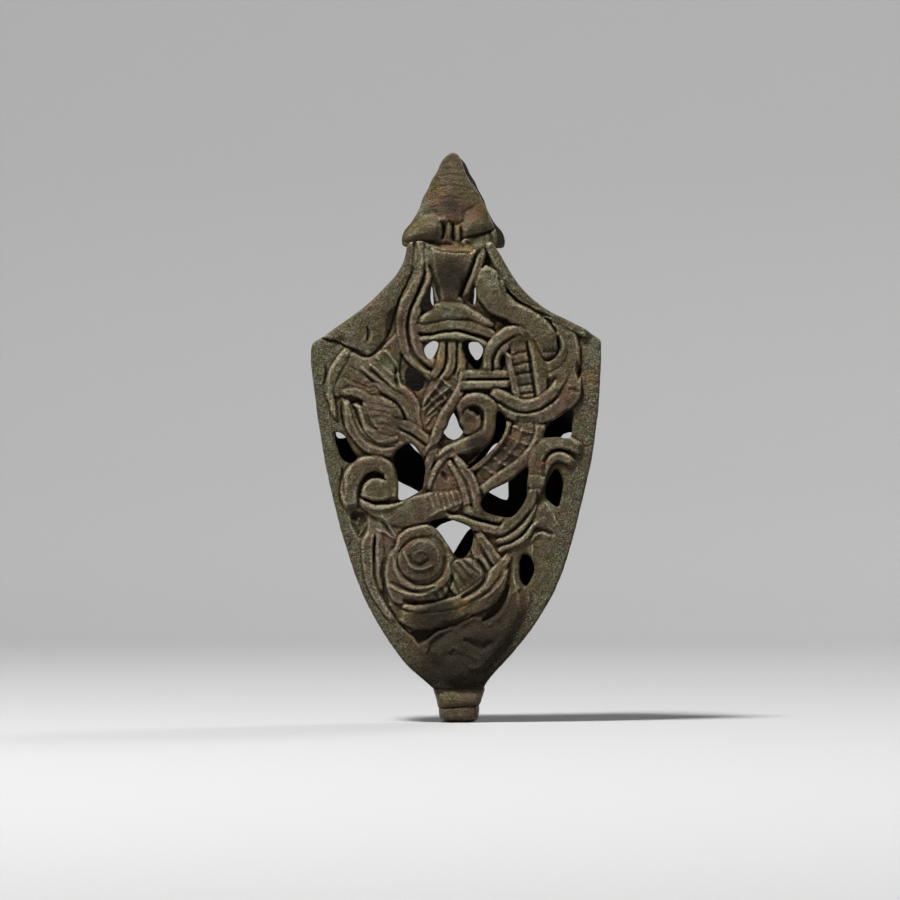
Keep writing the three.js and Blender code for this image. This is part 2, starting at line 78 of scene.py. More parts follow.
# The body's sides from the shoulders' corners down to the knob, and the faces' edges at the mouth.
LEFT_SIDE = [
    (322, 337), (313, 343), (310.3, 353), (311.2, 372), (315, 400), (319, 430), (326, 470), (333, 502),
    (342, 536), (352, 568), (363, 596), (376, 622), (395, 651), (408, 667), (424, 681), (434, 690)]
RIGHT_SIDE = [
    (596, 336), (601, 341), (601.7, 354), (601, 376), (599, 406), (594, 448), (587, 484), (577, 525),
    (566, 564), (553, 595), (536, 624), (515, 651), (506, 661), (494, 674), (487, 683), (484, 690)]
LEFT_MOUTH = [
    (412, 240), (407, 248), (406, 254), (403, 264), (396, 276), (385, 288), (370, 303), (352, 317),
    (335, 329)]
RIGHT_MOUTH = [
    (490, 240), (496, 249), (501, 257), (509, 271), (520, 287), (533, 300), (548, 311), (568, 321),
    (584, 329)]

# The holes that go through a face.
HOLES = [
    [(431, 286), (433, 300), (433, 309), (428, 312), (422, 308), (425, 298)],
    [(475, 285), (476, 298), (473, 305), (468, 300), (471, 291)],
    [(425, 343), (437, 342), (437, 351), (431, 360), (425, 354)],
    [(463, 342), (474, 341), (482, 347), (483, 358), (478, 370), (470, 365), (465, 355)],
    [(407, 370), (414, 369), (422, 376), (424, 386), (418, 392), (410, 389), (406, 380)],
    [(503, 354), (505, 360), (503, 368), (500, 367), (501, 358)],
    [(457, 410), (458, 422), (463, 431), (459, 438), (450, 440), (443, 434), (447, 427), (451, 417)],
    [(497, 411), (505, 418), (504, 431), (496, 445), (484, 457), (471, 468), (468, 467), (481, 453),
        (491, 441), (495, 428)],
    [(571, 410), (572, 425), (570, 438), (556, 437), (543, 437), (548, 425), (559, 417)],
    [(334, 433), (344, 435), (352, 450), (358, 458), (351, 463), (343, 459), (337, 446)],
    [(404, 445), (413, 446), (424, 462), (424, 478), (420, 491), (400, 500), (399, 480), (393, 457)],
    [(490, 491), (509, 481), (527, 467), (526, 486), (525, 498), (511, 517), (488, 512), (481, 503)],
    [(556, 469), (562, 481), (561, 496), (557, 507), (547, 499), (545, 490), (549, 477)],
    [(430, 523), (444, 518), (460, 522), (472, 530), (472, 546), (465, 557), (457, 557), (448, 545),
        (440, 532)],
    [(523, 554), (531, 558), (534, 570), (530, 581), (525, 586), (520, 577), (520, 562)],
]

# The relief of a face, from the lowest form to the one laid on last. A strand has a base and a top
# in millimetres and a shoulder in pixels, and its points are column, row and width in pixels.
# A lobe is the same inside a closed outline, and a hill is a lobe that rises with no crease round it.
# A swell raises what lies inside an outline, and a pit sinks it. A groove or a ridge is a soft line
# with its depth or height. Rungs and lozenges are cuts with their depth, and their pitch in pixels.
# Calm rounds off all that was laid before it, by its reach in millimetres.
ROUND = 99
FACE_RELIEF = [
    # The left shoulder, its crack and its slit.
    ("lobe", 1.5, 2.1, 34, [(404, 242), (402, 265), (388, 284), (370, 302), (352, 316), (334, 329),
        (322, 338), (337, 341), (346, 346), (356, 350), (368, 356), (378, 348), (386, 338), (391, 328),
        (396, 312), (400, 298), (406, 286), (412, 274), (416, 262), (413, 242)]),
    ("pit", 0.35, 5, [(389, 311), (398, 307), (398, 322), (394, 334), (386, 340), (384, 331)]),
    ("groove", 0.6, [(368, 328, 2), (369.5, 334, 4), (368, 341, 2)]),
    ("groove", 0.3, [(321, 339, 2), (330, 341, 3), (339, 341, 3), (347, 347, 2), (357, 350, 2),
        (366, 354, 2)]),
    ("groove", 0.3, [(339, 338, 2), (343, 339, 6), (346, 342, 3)]),
    ("groove", 0.2, [(337, 327, 2), (345, 323, 2), (353, 318, 1)]),
    # The leaf's shoulder with its feather stripes.
    ("lobe", 1.5, 1.95, 9, [(348, 352), (366, 358), (378, 352), (392, 338), (399, 332), (402, 350),
        (399, 372), (404, 392), (396, 401), (380, 398), (366, 399), (352, 392), (336, 397), (330, 386),
        (337, 368)]),
    ("strand", 1.5, 2.15, ROUND, [(348, 350, 7), (342, 360, 11), (336, 370, 12), (331, 382, 11),
        (330, 394, 8.5), (333, 405, 6), (335, 418, 5)]),
    ("groove", 0.4, [(326, 367, 2), (326.5, 380, 4), (327, 393, 2)]),
    ("ridge", 0.4, [(386, 351, 4), (392, 359, 5), (398, 367, 4)]),
    ("ridge", 0.4, [(377, 358, 4), (386, 368, 5), (395, 377, 4)]),
    ("ridge", 0.4, [(371, 365, 4), (381, 375, 5), (392, 385, 5), (399, 391, 4)]),
    ("ridge", 0.4, [(363, 369, 4), (375, 379, 5), (387, 388, 5), (397, 396, 4)]),
    ("groove", 0.45, [(380, 361, 2), (386, 367, 3), (393, 373, 2)]),
    ("groove", 0.4, [(371, 370, 2), (379, 377, 3), (389, 385, 3)]),
    ("groove", 0.45, [(366, 376, 2), (376, 383, 3), (387, 390, 3), (398, 395, 2)]),
    ("groove", 0.55, [(396, 368, 2), (395.5, 377, 4), (399, 387, 3), (405, 394, 3), (412, 400, 2)]),
    ("groove", 0.3, [(383, 349, 4), (389, 350, 4)]),
    ("groove", 0.3, [(352, 367, 2), (362, 374, 3), (372, 381, 2)]),
    ("groove", 0.25, [(346, 377, 2), (358, 384, 3), (370, 389, 2)]),
    # The strands right of the leaf, and the leaf.
    ("strand", 1.6, 2.2, ROUND, [(398, 385, 6), (407, 394, 11), (413, 402, 11), (417, 412, 11),
        (420, 422, 9.5), (421, 433, 6)]),
    ("strand", 1.6, 2.2, ROUND, [(374, 383, 5), (388, 392, 9.5), (398, 399, 11), (406, 407, 11),
        (411, 417, 9.5), (414, 428, 6)]),
    ("groove", 0.55, [(381, 394, 2), (391, 399, 5), (399, 407, 6), (404, 416, 4), (406, 423, 2)]),
    ("lobe", 1.6, 2.45, ROUND, [(363, 400), (374, 396), (386, 398), (396, 404), (403, 413), (405, 424),
        (403, 436), (398, 444), (386, 443), (375, 437), (367, 427), (362, 413)]),
    ("groove", 0.15, [(372, 404, 2), (383, 406, 3), (394, 411, 2)]),
    ("groove", 0.15, [(369, 410, 2), (382, 412, 3), (396, 418, 2)]),
    ("groove", 0.15, [(371, 417, 2), (384, 418, 3), (398, 424, 2)]),
    ("groove", 0.15, [(374, 424, 2), (386, 425, 3), (398, 430, 2)]),
    ("strand", 1.5, 2.3, ROUND, [(346, 401, 7), (348, 412, 12), (352, 424, 14.5), (358, 434, 15.5),
        (366, 443, 15.5), (377, 449, 15.5), (389, 450, 14.5), (399, 446, 12), (403, 439, 8.5)]),
    ("strand", 1.9, 2.4, ROUND, [(354, 403, 5), (361, 411, 7), (366, 422, 8.5), (371, 432, 9.5),
        (379, 439, 9.5), (390, 440, 7), (399, 437, 5)]),
    ("strand", 1.7, 2.3, ROUND, [(342, 393, 5), (352, 392, 8.5), (361, 395, 9.5), (370, 401, 8.5)]),
    ("pit", 0.6, 3, [(347, 401), (354, 398), (361, 401), (363, 407), (355, 407)]),
    ("groove", 0.5, [(350, 405, 3), (354, 416, 3), (358, 427, 3), (364, 437, 4), (373, 444, 4), (384, 447, 4),
        (394, 446, 2)]),
    ("groove", 0.45, [(343, 404, 2), (343, 414, 5), (344.5, 425, 4)]),
    ("groove", 0.45, [(362, 408, 2), (366, 417, 4), (371, 425, 5), (377, 429, 3)]),
    ("groove", 0.5, [(370, 459, 4), (373, 460, 5)]),
    ("groove", 0.4, [(389, 460, 4), (392, 461, 4)]),
    ("strand", 1.7, 2.35, ROUND, [(393, 421, 6), (405, 426, 11), (416, 432, 12), (426, 440, 11),
        (435, 448, 8.5)]),
    ("strand", 1.6, 2.2, ROUND, [(395, 430, 5), (407, 438, 9.5), (418, 446, 11), (428, 453, 9.5),
        (438, 458, 7)]),
    ("groove", 0.4, [(400, 429, 2), (412, 436, 3), (423, 444, 4), (431, 450, 2)]),
    # The neck under the head, with the tendril left of it.
    ("lobe", 1.6, 2.3, 16, [(427, 246), (440, 251), (455, 253), (470, 251), (479, 247), (473, 268),
        (466, 283), (461, 296), (462, 305), (437, 305), (437, 292), (432, 280), (426, 266)]),
    ("strand", 1.5, 2.0, ROUND, [(427, 234, 8), (427, 250, 8), (428, 266, 8.5), (431, 278, 7), (435, 290, 7),
        (438, 301, 6)]),
    ("strand", 1.5, 2.1, ROUND, [(488, 232, 8.5), (484, 250, 9), (477, 270, 9.5), (472, 283, 9.5),
        (466, 296, 7)]),
    ("groove", 0.6, [(429, 266, 2), (433.5, 279, 3.5), (437.5, 291, 4), (440, 301, 3)]),
    ("groove", 0.7, [(475.5, 255, 2), (471, 270, 5), (465, 283, 5), (460, 296, 4)]),
    ("groove", 0.7, [(488, 250, 3), (489, 260, 7), (488, 273, 6)]),
    ("strand", 1.6, 2.2, ROUND, [(421, 232, 8.5), (420, 250, 10), (419, 270, 11), (414, 285, 12),
        (408, 299, 12), (404, 313, 12), (403, 328, 12), (404, 342, 12), (408, 354, 12), (416, 364, 11),
        (425, 372, 9.5), (433, 380, 6)]),
    ("strand", 1.6, 2.4, ROUND, [(429, 276, 6), (425, 290, 8.5), (419, 303, 9.5), (415, 316, 11),
        (414, 330, 11), (416, 343, 12), (421, 353, 12), (429, 361, 11), (439, 367, 8.5)]),
    ("groove", 0.4, [(416, 246, 3), (418, 257, 5), (417, 268, 5), (412, 280, 4), (407, 290, 3),
        (403, 298, 2)]),
    ("groove", 0.6, [(426, 279, 2), (420, 293, 3), (413, 306, 3), (409, 318, 3), (408, 331, 4),
        (409.5, 344, 4), (413, 356, 4), (420, 363, 5), (428, 370, 4)]),
    # The three curved bands across, and the hatched neck that comes out under them.
    ("strand", 1.4, 1.85, 6, [(451, 342, 27), (451, 360, 26), (449, 374, 25), (444, 388, 30), (438, 402, 30),
        (433, 416, 24), (430, 430, 14)]),
    ("strand", 1.7, 2.15, ROUND, [(442, 340, 7), (442, 358, 9.5), (438, 370, 9.5), (431, 379, 6)]),
    ("strand", 1.7, 2.15, ROUND, [(452, 340, 8.5), (452, 360, 11), (449, 371, 9.5), (443, 378, 6)]),
    ("strand", 1.7, 2.1, ROUND, [(461, 341, 7), (462, 358, 9.5), (461, 372, 8.5)]),
    ("groove", 0.45, [(446.5, 343, 2), (446.5, 360, 4), (443, 371, 3), (438, 378, 2)]),
    ("groove", 0.35, [(457.5, 343, 2), (457, 360, 3), (455, 376, 2)]),
    ("pit", 0.25, 4, [(441, 377), (456, 378), (455, 392), (448, 405), (437, 419), (428, 429), (424, 420),
        (424, 406), (429, 392)]),
    ("ridge", 0.4, [(442, 379, 3), (436, 387, 4), (429, 396, 4), (424, 404, 3)]),
    ("ridge", 0.4, [(443, 380, 3), (448, 385, 4), (454, 391, 3)]),
    ("ridge", 0.4, [(450, 387, 3), (441, 394, 4), (432, 402, 4), (425, 410, 3)]),
    ("ridge", 0.4, [(436, 389, 3), (442, 395, 4), (448, 402, 3)]),
    ("ridge", 0.4, [(445, 400, 3), (437, 407, 4), (428, 415, 3)]),
    ("ridge", 0.4, [(430, 398, 3), (436, 404, 4), (442, 411, 3)]),
    ("ridge", 0.35, [(438, 412, 3), (431, 418, 4), (426, 424, 2)]),
    ("strand", 1.8, 2.4, ROUND, [(464, 371, 7), (462, 385, 9.5), (456, 398, 11), (449, 410, 12),
        (443, 421, 12), (438, 432, 11), (433, 443, 9), (427, 452, 6)]),
    ("strand", 1.6, 2.45, ROUND, [(418, 340, 5), (430, 338, 7), (442, 335.5, 8.5), (455, 335.5, 8.5),
        (468, 339, 8.5), (480, 343.5, 8.5), (488, 350, 7), (487, 364, 6)]),
    ("strand", 1.6, 2.3, ROUND, [(417, 330, 9.5), (432, 327, 13), (446, 325, 13), (460, 325, 13),
        (474, 328, 13), (486, 332, 12), (496, 338, 7)]),
    ("groove", 0.6, [(419, 334, 3), (428, 335, 5), (440, 332.5, 3), (455, 331, 3), (468, 334, 4),
        (480, 338, 5)]),
    ("lobe", 1.8, 2.6, 12, [(437, 304), (450, 303), (463, 304), (472, 309), (483, 316), (494, 326),
        (484, 327), (470, 321), (450, 320), (435, 322), (420, 325), (420, 318), (428, 312)]),
    ("ridge", 0.12, [(451, 308, 4), (453, 312, 6)]),
    # The right shoulder: the ridge along its edge, the hip, and the limb.
    ("lobe", 1.6, 2.25, 10, [(546, 314), (560, 318), (572, 326), (578, 340), (580, 356), (578, 372),
        (575, 388), (566, 398), (552, 400), (546, 388), (545, 372), (552, 366), (562, 358), (563, 345),
        (556, 332)]),
    ("strand", 1.6, 2.2, 9, [(486, 228, 10), (490, 244, 11), (498, 262, 13), (506, 275, 14.5),
        (516, 289, 15.5), (529, 301, 14.5), (543, 310, 13), (558, 318, 12), (572, 327, 11), (588, 334, 7)]),
    ("ridge", 0.2, [(571, 329, 3), (575, 340, 4), (577, 352, 4), (578, 360, 3)]),
    ("groove", 0.6, [(577, 363, 3), (578, 371, 6), (579, 379, 3)]),
    ("strand", 1.8, 2.8, ROUND, [(487, 267, 3), (487, 272, 15), (488, 279, 25), (490, 289, 31),
        (497, 302, 27), (513, 313, 21.5), (527, 321, 24), (538, 332, 29), (546, 345, 25), (549, 356, 14.5)]),
    ("strand", 1.8, 2.3, ROUND, [(557, 331, 5), (562, 343, 7), (562.5, 354, 9.5), (557, 363, 11),
        (548, 367, 11), (540, 363, 9.5), (533, 354, 7), (526, 343, 6), (521, 334, 3.5)]),
    ("groove", 0.4, [(499, 279, 3), (503, 290, 6), (509, 298, 6), (517, 303, 4), (527, 308, 3), (538, 313, 3),
        (550, 317, 2)]),
    ("groove", 0.15, [(507, 285, 2), (513, 294, 3), (524, 302, 3), (535, 308, 2)]),
    ("groove", 0.5, [(521, 331, 2), (528, 341, 4), (535, 351, 4), (541, 360, 3)]),
    ("groove", 0.6, [(557.5, 337, 2), (559.5, 344, 4), (560, 351, 2)]),
    ("groove", 0.35, [(545, 352, 6), (549, 353, 9), (554, 352, 5)]),
    ("groove", 0.5, [(492, 316, 4), (503, 322, 6), (514, 327, 6)]),
    # The ring round the ladder, with the bars that cross to it.
    ("strand", 1.5, 2.05, 4, [(463, 375, 8), (480, 374.5, 8), (495, 374.5, 8), (511, 375, 7)]),
    ("strand", 1.5, 2.2, 4, [(462, 385, 9), (478, 384.5, 9), (495, 384.5, 9), (511, 385, 8)]),
    ("groove", 0.35, [(463, 380, 2), (480, 379.8, 3), (495, 379.8, 3), (511, 380, 2)]),
    ("groove", 0.7, [(462, 391, 4), (475, 392, 6), (490, 392, 6), (505, 391, 5), (511, 387, 3)]),
    ("strand", 1.6, 2.2, ROUND, [(497, 370, 7), (498, 358, 8.5), (503, 348, 9.5), (511, 341, 11),
        (521, 338, 9.5), (528, 341, 6)]),
    ("strand", 1.4, 1.85, 6, [(517, 344, 16), (520, 358, 20), (524, 374, 20), (527, 390, 18),
        (529, 402, 14)]),
    ("strand", 1.7, 2.15, ROUND, [(503, 352, 5), (509, 360, 8.5), (513, 374, 9.5), (516, 388, 9.5),
        (518, 402, 7)]),
    ("strand", 1.7, 2.25, ROUND, [(529, 340, 6), (534, 352, 9.5), (538, 364, 13), (540, 378, 14.5),
        (541, 392, 13), (541, 403, 8.5)]),
    ("groove", 0.45, [(512, 360, 2), (516, 372, 4), (519, 385, 3), (520, 398, 2)]),
    ("groove", 0.65, [(526, 343, 2), (529, 356, 4), (531, 370, 4), (533, 384, 4), (535.5, 399, 3)]),
    ("groove", 0.3, [(513, 355, 2), (519, 353, 3), (526, 351, 2)]),
    ("groove", 0.4, [(514, 366, 3), (521, 364, 4), (528, 362, 3)]),
    ("groove", 0.4, [(517, 375, 3), (524, 374, 4), (530, 373, 3)]),
    ("groove", 0.35, [(519, 386, 2), (526, 385, 3), (532, 384, 2)]),
    ("groove", 0.35, [(520, 394, 2), (527, 393, 3), (534, 392, 2)]),
    ("strand", 1.7, 2.5, ROUND, [(487, 371, 8.5), (488, 358, 11), (492, 347, 12), (500, 338, 12),
        (510, 332, 12), (519, 331, 9.5), (525, 336, 6)]),
    ("groove", 0.4, [(491.5, 370, 2), (492.5, 358, 3), (497, 349, 3), (504, 342, 3), (513, 337, 2)]),
    ("pit", 0.45, 4, [(546, 378), (558, 377), (561, 386), (551, 395), (545, 391)]),
    ("strand", 1.7, 2.35, ROUND, [(575, 378, 12), (571, 392, 19), (562, 402, 21.5), (549, 411, 19),
        (535, 416, 14.5), (520, 416, 13), (507, 411, 12), (495, 403, 9.5)]),
    ("strand", 1.8, 2.55, ROUND, [(490, 391, 7), (500, 396, 12), (511, 402, 13), (523, 406, 13),
        (535, 404, 13), (545, 399, 13), (553, 391, 12), (558, 383, 8.5)]),
    ("groove", 0.45, [(499, 402, 3), (511, 410, 4), (523, 412.5, 3), (537, 411, 3), (548, 404, 4),
        (556, 397, 3)]),
    ("groove", 0.2, [(549, 400, 2), (554, 405, 2)]),
    ("groove", 0.2, [(545, 404, 2), (550, 409, 2)]),
    ("groove", 0.35, [(570, 389, 4), (576, 392, 4)]),
    # The curl in the middle.
    ("lobe", 1.7, 2.5, 9, [(459, 416), (463, 409), (470, 408), (478, 414), (483, 424), (482, 433), (474, 437),
        (465, 435), (459, 428)]),
    ("strand", 1.7, 2.6, ROUND, [(459, 417, 6), (461, 408, 9.5), (468, 401, 13), (478, 399.5, 14.5),
        (487, 404, 15.5), (491.5, 414, 17), (491, 427, 18), (484, 438, 19), (473, 444, 18), (461, 448, 15.5),
        (449, 452, 13), (437, 457, 8.5)]),
    ("groove", 0.9, [(471, 410, 4), (475, 411, 7), (477, 415, 4)]),
    ("groove", 0.35, [(480, 417, 2), (482.5, 424, 3), (481.5, 431, 2)]),
    ("pit", 0.9, 4, [(457, 453), (468, 450), (481, 447), (480, 454), (469, 463), (460, 462)]),
    # The hatched ribbon that comes down from the ring.
    ("strand", 1.35, 1.8, 6, [(527, 424, 24), (521, 440, 30), (510, 454, 32), (497, 467, 28), (484, 479, 22),
        (476, 486, 12)]),
    ("lozenges", 0.15, 14, [(525, 426, 20), (520, 440, 22), (509, 454, 22), (497, 466, 20), (485, 478, 14)]),
    ("ridge", 0.3, [(510, 424, 3), (520, 430, 4), (532, 433, 3)]),
    ("ridge", 0.3, [(506, 435, 3), (516, 441, 4), (528, 445, 3)]),
    ("ridge", 0.3, [(499, 446, 3), (508, 452, 4), (520, 457, 3)]),
    ("ridge", 0.3, [(491, 456, 3), (499, 462, 4), (509, 467, 3)]),
    ("ridge", 0.35, [(481, 465, 3), (489, 471, 4), (498, 476, 3)]),
    ("ridge", 0.2, [(523, 427, 2), (518, 441, 3), (510, 452, 3), (498, 464, 2)]),
    ("strand", 1.7, 2.3, ROUND, [(509, 421, 6), (503, 434, 8.5), (495, 446, 9.5), (486, 456, 9.5),
        (476, 465, 9.5), (466, 472, 7)]),
    ("strand", 1.7, 2.3, ROUND, [(540, 423, 9.5), (540, 436, 13), (535, 449, 14.5), (527, 459, 14.5),
        (516, 468, 14.5), (504, 476, 14.5), (492, 484, 13), (481, 491, 9.5)]),
    # The lower limb, the pointed loop and the crossing strands.
    ("strand", 1.6, 2.2, 12, [(466, 491, 20), (452, 498, 26), (438, 504, 28), (422, 509, 28), (406, 513, 26),
        (392, 514, 22), (376, 510, 14), (361, 502, 7)]),
    ("rungs", 0.3, 5.5, [(461, 493, 15), (451, 497, 18), (441, 500, 18), (431, 503, 13)]),
    ("ridge", 0.3, [(430, 516, 2), (440, 511, 4), (450, 506, 4), (461, 502, 3)]),
    ("ridge", 0.25, [(430, 492, 2), (440, 489.5, 4), (450, 486.5, 4), (459, 482, 3)]),
    ("ridge", 0.35, [(358, 498, 3), (367, 505, 5), (377, 509.5, 5), (389, 507, 4), (402, 503, 3)]),
    ("lobe", 1.5, 2.0, 8, [(446, 458), (455, 465), (462, 476), (467, 488), (455, 490), (440, 492), (430, 490),
        (431, 476), (437, 464)]),
    ("groove", 0.45, [(442, 472, 3), (444.5, 475.5, 6), (446, 479, 3)]),
    ("strand", 1.5, 2.1, ROUND, [(439, 447, 7), (432, 454, 9), (428.5, 464, 9), (427, 476, 8.5),
        (426, 488, 6)]),
    ("strand", 1.7, 2.35, ROUND, [(453, 450, 3), (446, 456, 5.5), (440, 462, 6), (435, 470, 6),
        (431.5, 479, 5.5), (429, 489, 4)]),
    ("strand", 1.7, 2.4, ROUND, [(464, 509, 7), (477, 511, 11), (490, 515, 11), (503, 519, 9.5),
        (515, 523, 6)]),
    ("strand", 1.7, 2.3, ROUND, [(446, 514, 6), (457, 519, 11), (470, 523.5, 11), (484, 527, 11),
        (498, 530, 9.5), (509, 529, 6)]),
    ("groove", 0.6, [(472, 518, 2), (484, 521.5, 4), (496, 523.5, 4), (506, 523, 2)]),
    ("groove", 0.5, [(448, 511, 3), (453, 513, 5), (458, 513, 3)]),
    ("strand", 1.8, 2.5, ROUND, [(448, 462, 6), (456, 471, 9.5), (462, 481, 11), (466, 493, 11),
        (468, 506, 9.5)]),
    ("strand", 1.9, 2.65, ROUND, [(454, 456, 6), (462, 467, 11), (469, 477, 12), (474, 489, 12),
        (477, 502, 12), (481, 513, 8.5)]),
    ("groove", 0.4, [(452, 462, 2), (460, 472, 3), (467, 484, 3), (470.5, 496, 3), (472, 507, 3)]),
    ("groove", 0.3, [(480, 495, 5), (483, 502, 6)]),
    # The left spiral, and the rubble under it.
    ("strand", 1.6, 2.6, ROUND, [(351, 505, 14.5), (349.5, 491, 17), (353, 478, 19), (361, 468, 19),
        (373, 464, 17), (384, 466.5, 17), (391, 475, 15.5), (394, 486, 13), (394, 498, 11)]),
    ("lobe", 2.2, 2.6, 14, [(362, 497), (363, 488), (368, 481), (376, 478), (385, 480), (391, 487),
        (392, 495), (386, 500), (374, 501)]),
    ("groove", 0.9, [(363, 482, 3), (367, 476, 6), (375, 473, 8), (382, 475, 5)]),
    ("groove", 0.5, [(365, 500, 3), (376, 503, 5), (389, 500, 3)]),
    ("groove", 0.45, [(343, 469, 2), (343.5, 481, 4), (344, 494, 3)]),
    ("pit", 0.75, 4, [(350, 512), (360, 510), (368, 514), (369, 529), (362, 539), (355, 534), (350, 522)]),
    ("ridge", 0.35, [(353, 520, 4), (357, 523, 5), (360, 518, 4)]),
    ("ridge", 0.3, [(360, 534, 3), (363, 529, 4), (366, 524, 3)]),
    # The right tendril with its collar, and the feathers below it.
    ("hill", 1.45, 1.9, 12, [(528, 500), (540, 499), (549, 503), (556, 514), (561, 528), (558, 534),
        (545, 531), (536, 532), (528, 545), (512, 552), (500, 552), (512, 540), (524, 522)]),
    ("strand", 1.7, 2.3, ROUND, [(573, 463, 7), (563, 457, 11), (555, 456, 11), (548, 461, 11),
        (543, 470, 9.5), (541, 480, 7)]),
    ("strand", 1.7, 2.6, ROUND, [(579, 448, 12), (566, 443, 14.5), (555, 442, 14.5), (545, 446, 15.5),
        (538, 456, 17), (535, 468, 17), (535, 480, 17), (535, 493, 12)]),
    ("groove", 0.5, [(569, 451, 3), (558, 450, 5), (549, 453, 5), (543, 461, 3)]),
    ("lobe", 2.0, 2.68, 9, [(525, 478), (530, 475), (540, 475), (545, 479), (544, 486), (536, 489),
        (527, 487)]),
    ("ridge", 0.3, [(546, 504, 3), (551, 512, 4), (555, 520, 4), (559, 528, 3)]),
    ("strand", 1.8, 2.05, ROUND, [(538, 522, 2.5), (531, 528, 6), (524, 537, 6), (514, 543, 6), (504, 548, 6),
        (498, 552, 3.5)]),
    ("strand", 1.8, 2.25, ROUND, [(535, 503, 7), (529, 514, 11), (520, 526, 11), (509, 536, 11),
        (497, 543, 7)]),
    ("strand", 1.8, 2.5, ROUND, [(533, 490, 9.5), (529, 502, 13), (520, 513, 13), (510, 523, 12),
        (499, 532, 8.5)]),
    ("groove", 0.5, [(530, 510, 2), (522, 521, 4), (512, 530, 4), (501, 537, 3)]),
    ("groove", 0.5, [(531, 522, 2), (523, 532, 4), (512, 540, 4), (498, 546, 4)]),
    ("groove", 0.5, [(534, 529, 4), (542, 530, 7), (551, 533, 4)]),
    ("ridge", 0.3, [(531, 541, 3), (535, 535, 4), (542, 533, 4), (549, 536, 3)]),
    ("groove", 0.25, [(537, 539, 4), (542, 540, 5)]),
    ("ridge", 0.25, [(532, 546, 3), (531.5, 554, 4), (533, 562, 3)]),
    ("groove", 0.2, [(538, 549, 4), (541, 558, 5), (544, 564, 3)]),
    # The strands beside the hip, the triangle above it, and the hip's spiral.
    ("hill", 1.45, 1.75, 8, [(376, 514), (400, 512), (412, 520), (402, 540), (397, 556), (390, 562),
        (384, 590), (376, 560), (375, 530)]),
    ("strand", 1.5, 2.0, ROUND, [(371, 532, 9.5), (368, 544, 13), (368, 560, 12), (370, 575, 12),
        (374, 590, 11), (382, 604, 8.5), (393, 619, 6)]),
    ("strand", 1.5, 1.95, ROUND, [(379, 531, 6), (380, 545, 9.5), (379, 560, 9.5), (379, 575, 8.5),
        (381, 590, 6)]),
    ("groove", 0.5, [(375, 538, 3), (374.5, 552, 4), (374.5, 566, 4), (376, 580, 4), (380, 592, 4),
        (386, 603, 3), (397, 618, 3), (410, 634, 2)]),
    ("ridge", 0.4, [(381, 516, 2), (388, 524, 3), (394, 532, 3), (400, 540, 3)]),
    ("ridge", 0.35, [(377, 529, 3), (386, 532, 3), (393, 537, 3), (399, 540, 2)]),
    ("groove", 0.2, [(382, 522, 3), (387, 528, 4), (392, 533, 3)]),
    ("groove", 0.3, [(351, 541, 3), (350, 549, 5), (352, 558, 3)]),
    ("lobe", 1.6, 2.1, 8, [(398, 542), (409, 531), (424, 527), (437, 530), (447, 541), (452, 556), (453, 572),
        (449, 588), (440, 600), (418, 601), (400, 604), (391, 598), (385, 578), (387, 558), (392, 549)]),
    ("strand", 1.8, 2.35, ROUND, [(396, 550, 5), (403, 538, 9.5), (413, 531.5, 11), (425, 530, 11),
        (437, 534, 11), (445, 543, 9.5), (449.5, 556, 8.5), (449, 569, 8.5), (443, 580, 8.5), (432, 587, 8.5),
        (418, 588, 7), (405, 582, 7), (396.5, 571, 6), (394.5, 558, 5)]),
    ("lobe", 2.05, 2.45, 12, [(412, 540), (424, 538), (434, 543), (441, 553), (443, 564), (438, 573),
        (427, 579), (413, 579), (403, 572), (398, 561), (401, 549)]),
    ("ridge", 0.15, [(412, 545, 2), (420, 541, 3), (430, 543, 3), (437, 551, 3), (438, 560, 2)]),
    ("groove", 0.3, [(430, 535, 2), (438, 539, 3), (443.5, 547, 3), (446, 557, 3), (445.5, 567, 3),
        (440, 577, 4), (429, 583, 5), (415, 582, 5), (404, 575, 3)]),
    ("ridge", 0.45, [(404, 551, 2), (407.5, 559, 3.5), (413, 566, 4), (422, 568.5, 4), (433, 566, 3)]),
    ("groove", 0.4, [(410, 555, 3), (414, 562, 6), (421, 564, 6), (429, 560, 3)]),
    ("ridge", 0.2, [(416, 553, 3), (421, 550, 5), (427, 552, 3)]),
    ("ridge", 0.3, [(390, 585, 3), (400, 590.5, 4), (412, 594, 5), (424, 594, 5), (437, 590, 3)]),
    ("groove", 0.45, [(393, 582, 4), (402, 586.5, 4), (412, 590, 4), (423, 590.5, 4), (434, 587, 2)]),
    ("groove", 0.6, [(382, 562, 3), (382, 577, 5), (384, 590, 5), (388, 602, 3)]),
    ("lobe", 1.7, 2.15, 7, [(452, 562), (462, 558), (472, 558), (480, 564), (485, 573), (481, 583),
        (472, 591), (462, 597), (455, 595), (450, 588), (453, 577)]),
    ("groove", 0.42, [(464, 560, 2), (471, 567, 3), (479, 573, 2)]),
    ("groove", 0.42, [(458, 562, 2), (465, 570, 3), (472, 579, 2)]),
    ("groove", 0.42, [(454, 567, 2), (460, 576, 3), (466, 587, 2)]),
    ("groove", 0.42, [(452, 576, 2), (456, 585, 3), (460, 594, 2)]),
    ("groove", 0.42, [(447, 583, 2), (450, 590, 3), (454, 598, 2)]),
    ("groove", 0.35, [(441, 587, 2), (444, 593, 3), (447, 600, 2)]),
    ("groove", 0.35, [(435, 591, 2), (437, 597, 3), (440, 602, 2)]),
    ("strand", 1.6, 2.05, ROUND, [(474, 538, 6), (477, 552, 9.5), (483, 563, 9.5), (490, 573, 7)]),
    ("strand", 1.7, 2.2, ROUND, [(478, 532, 7), (485, 545, 12), (493, 556, 12), (503, 567, 9.5)]),
    ("groove", 0.45, [(480, 544, 2), (485, 555, 4), (492, 566, 3)]),
    # The leaf bands under the hip.
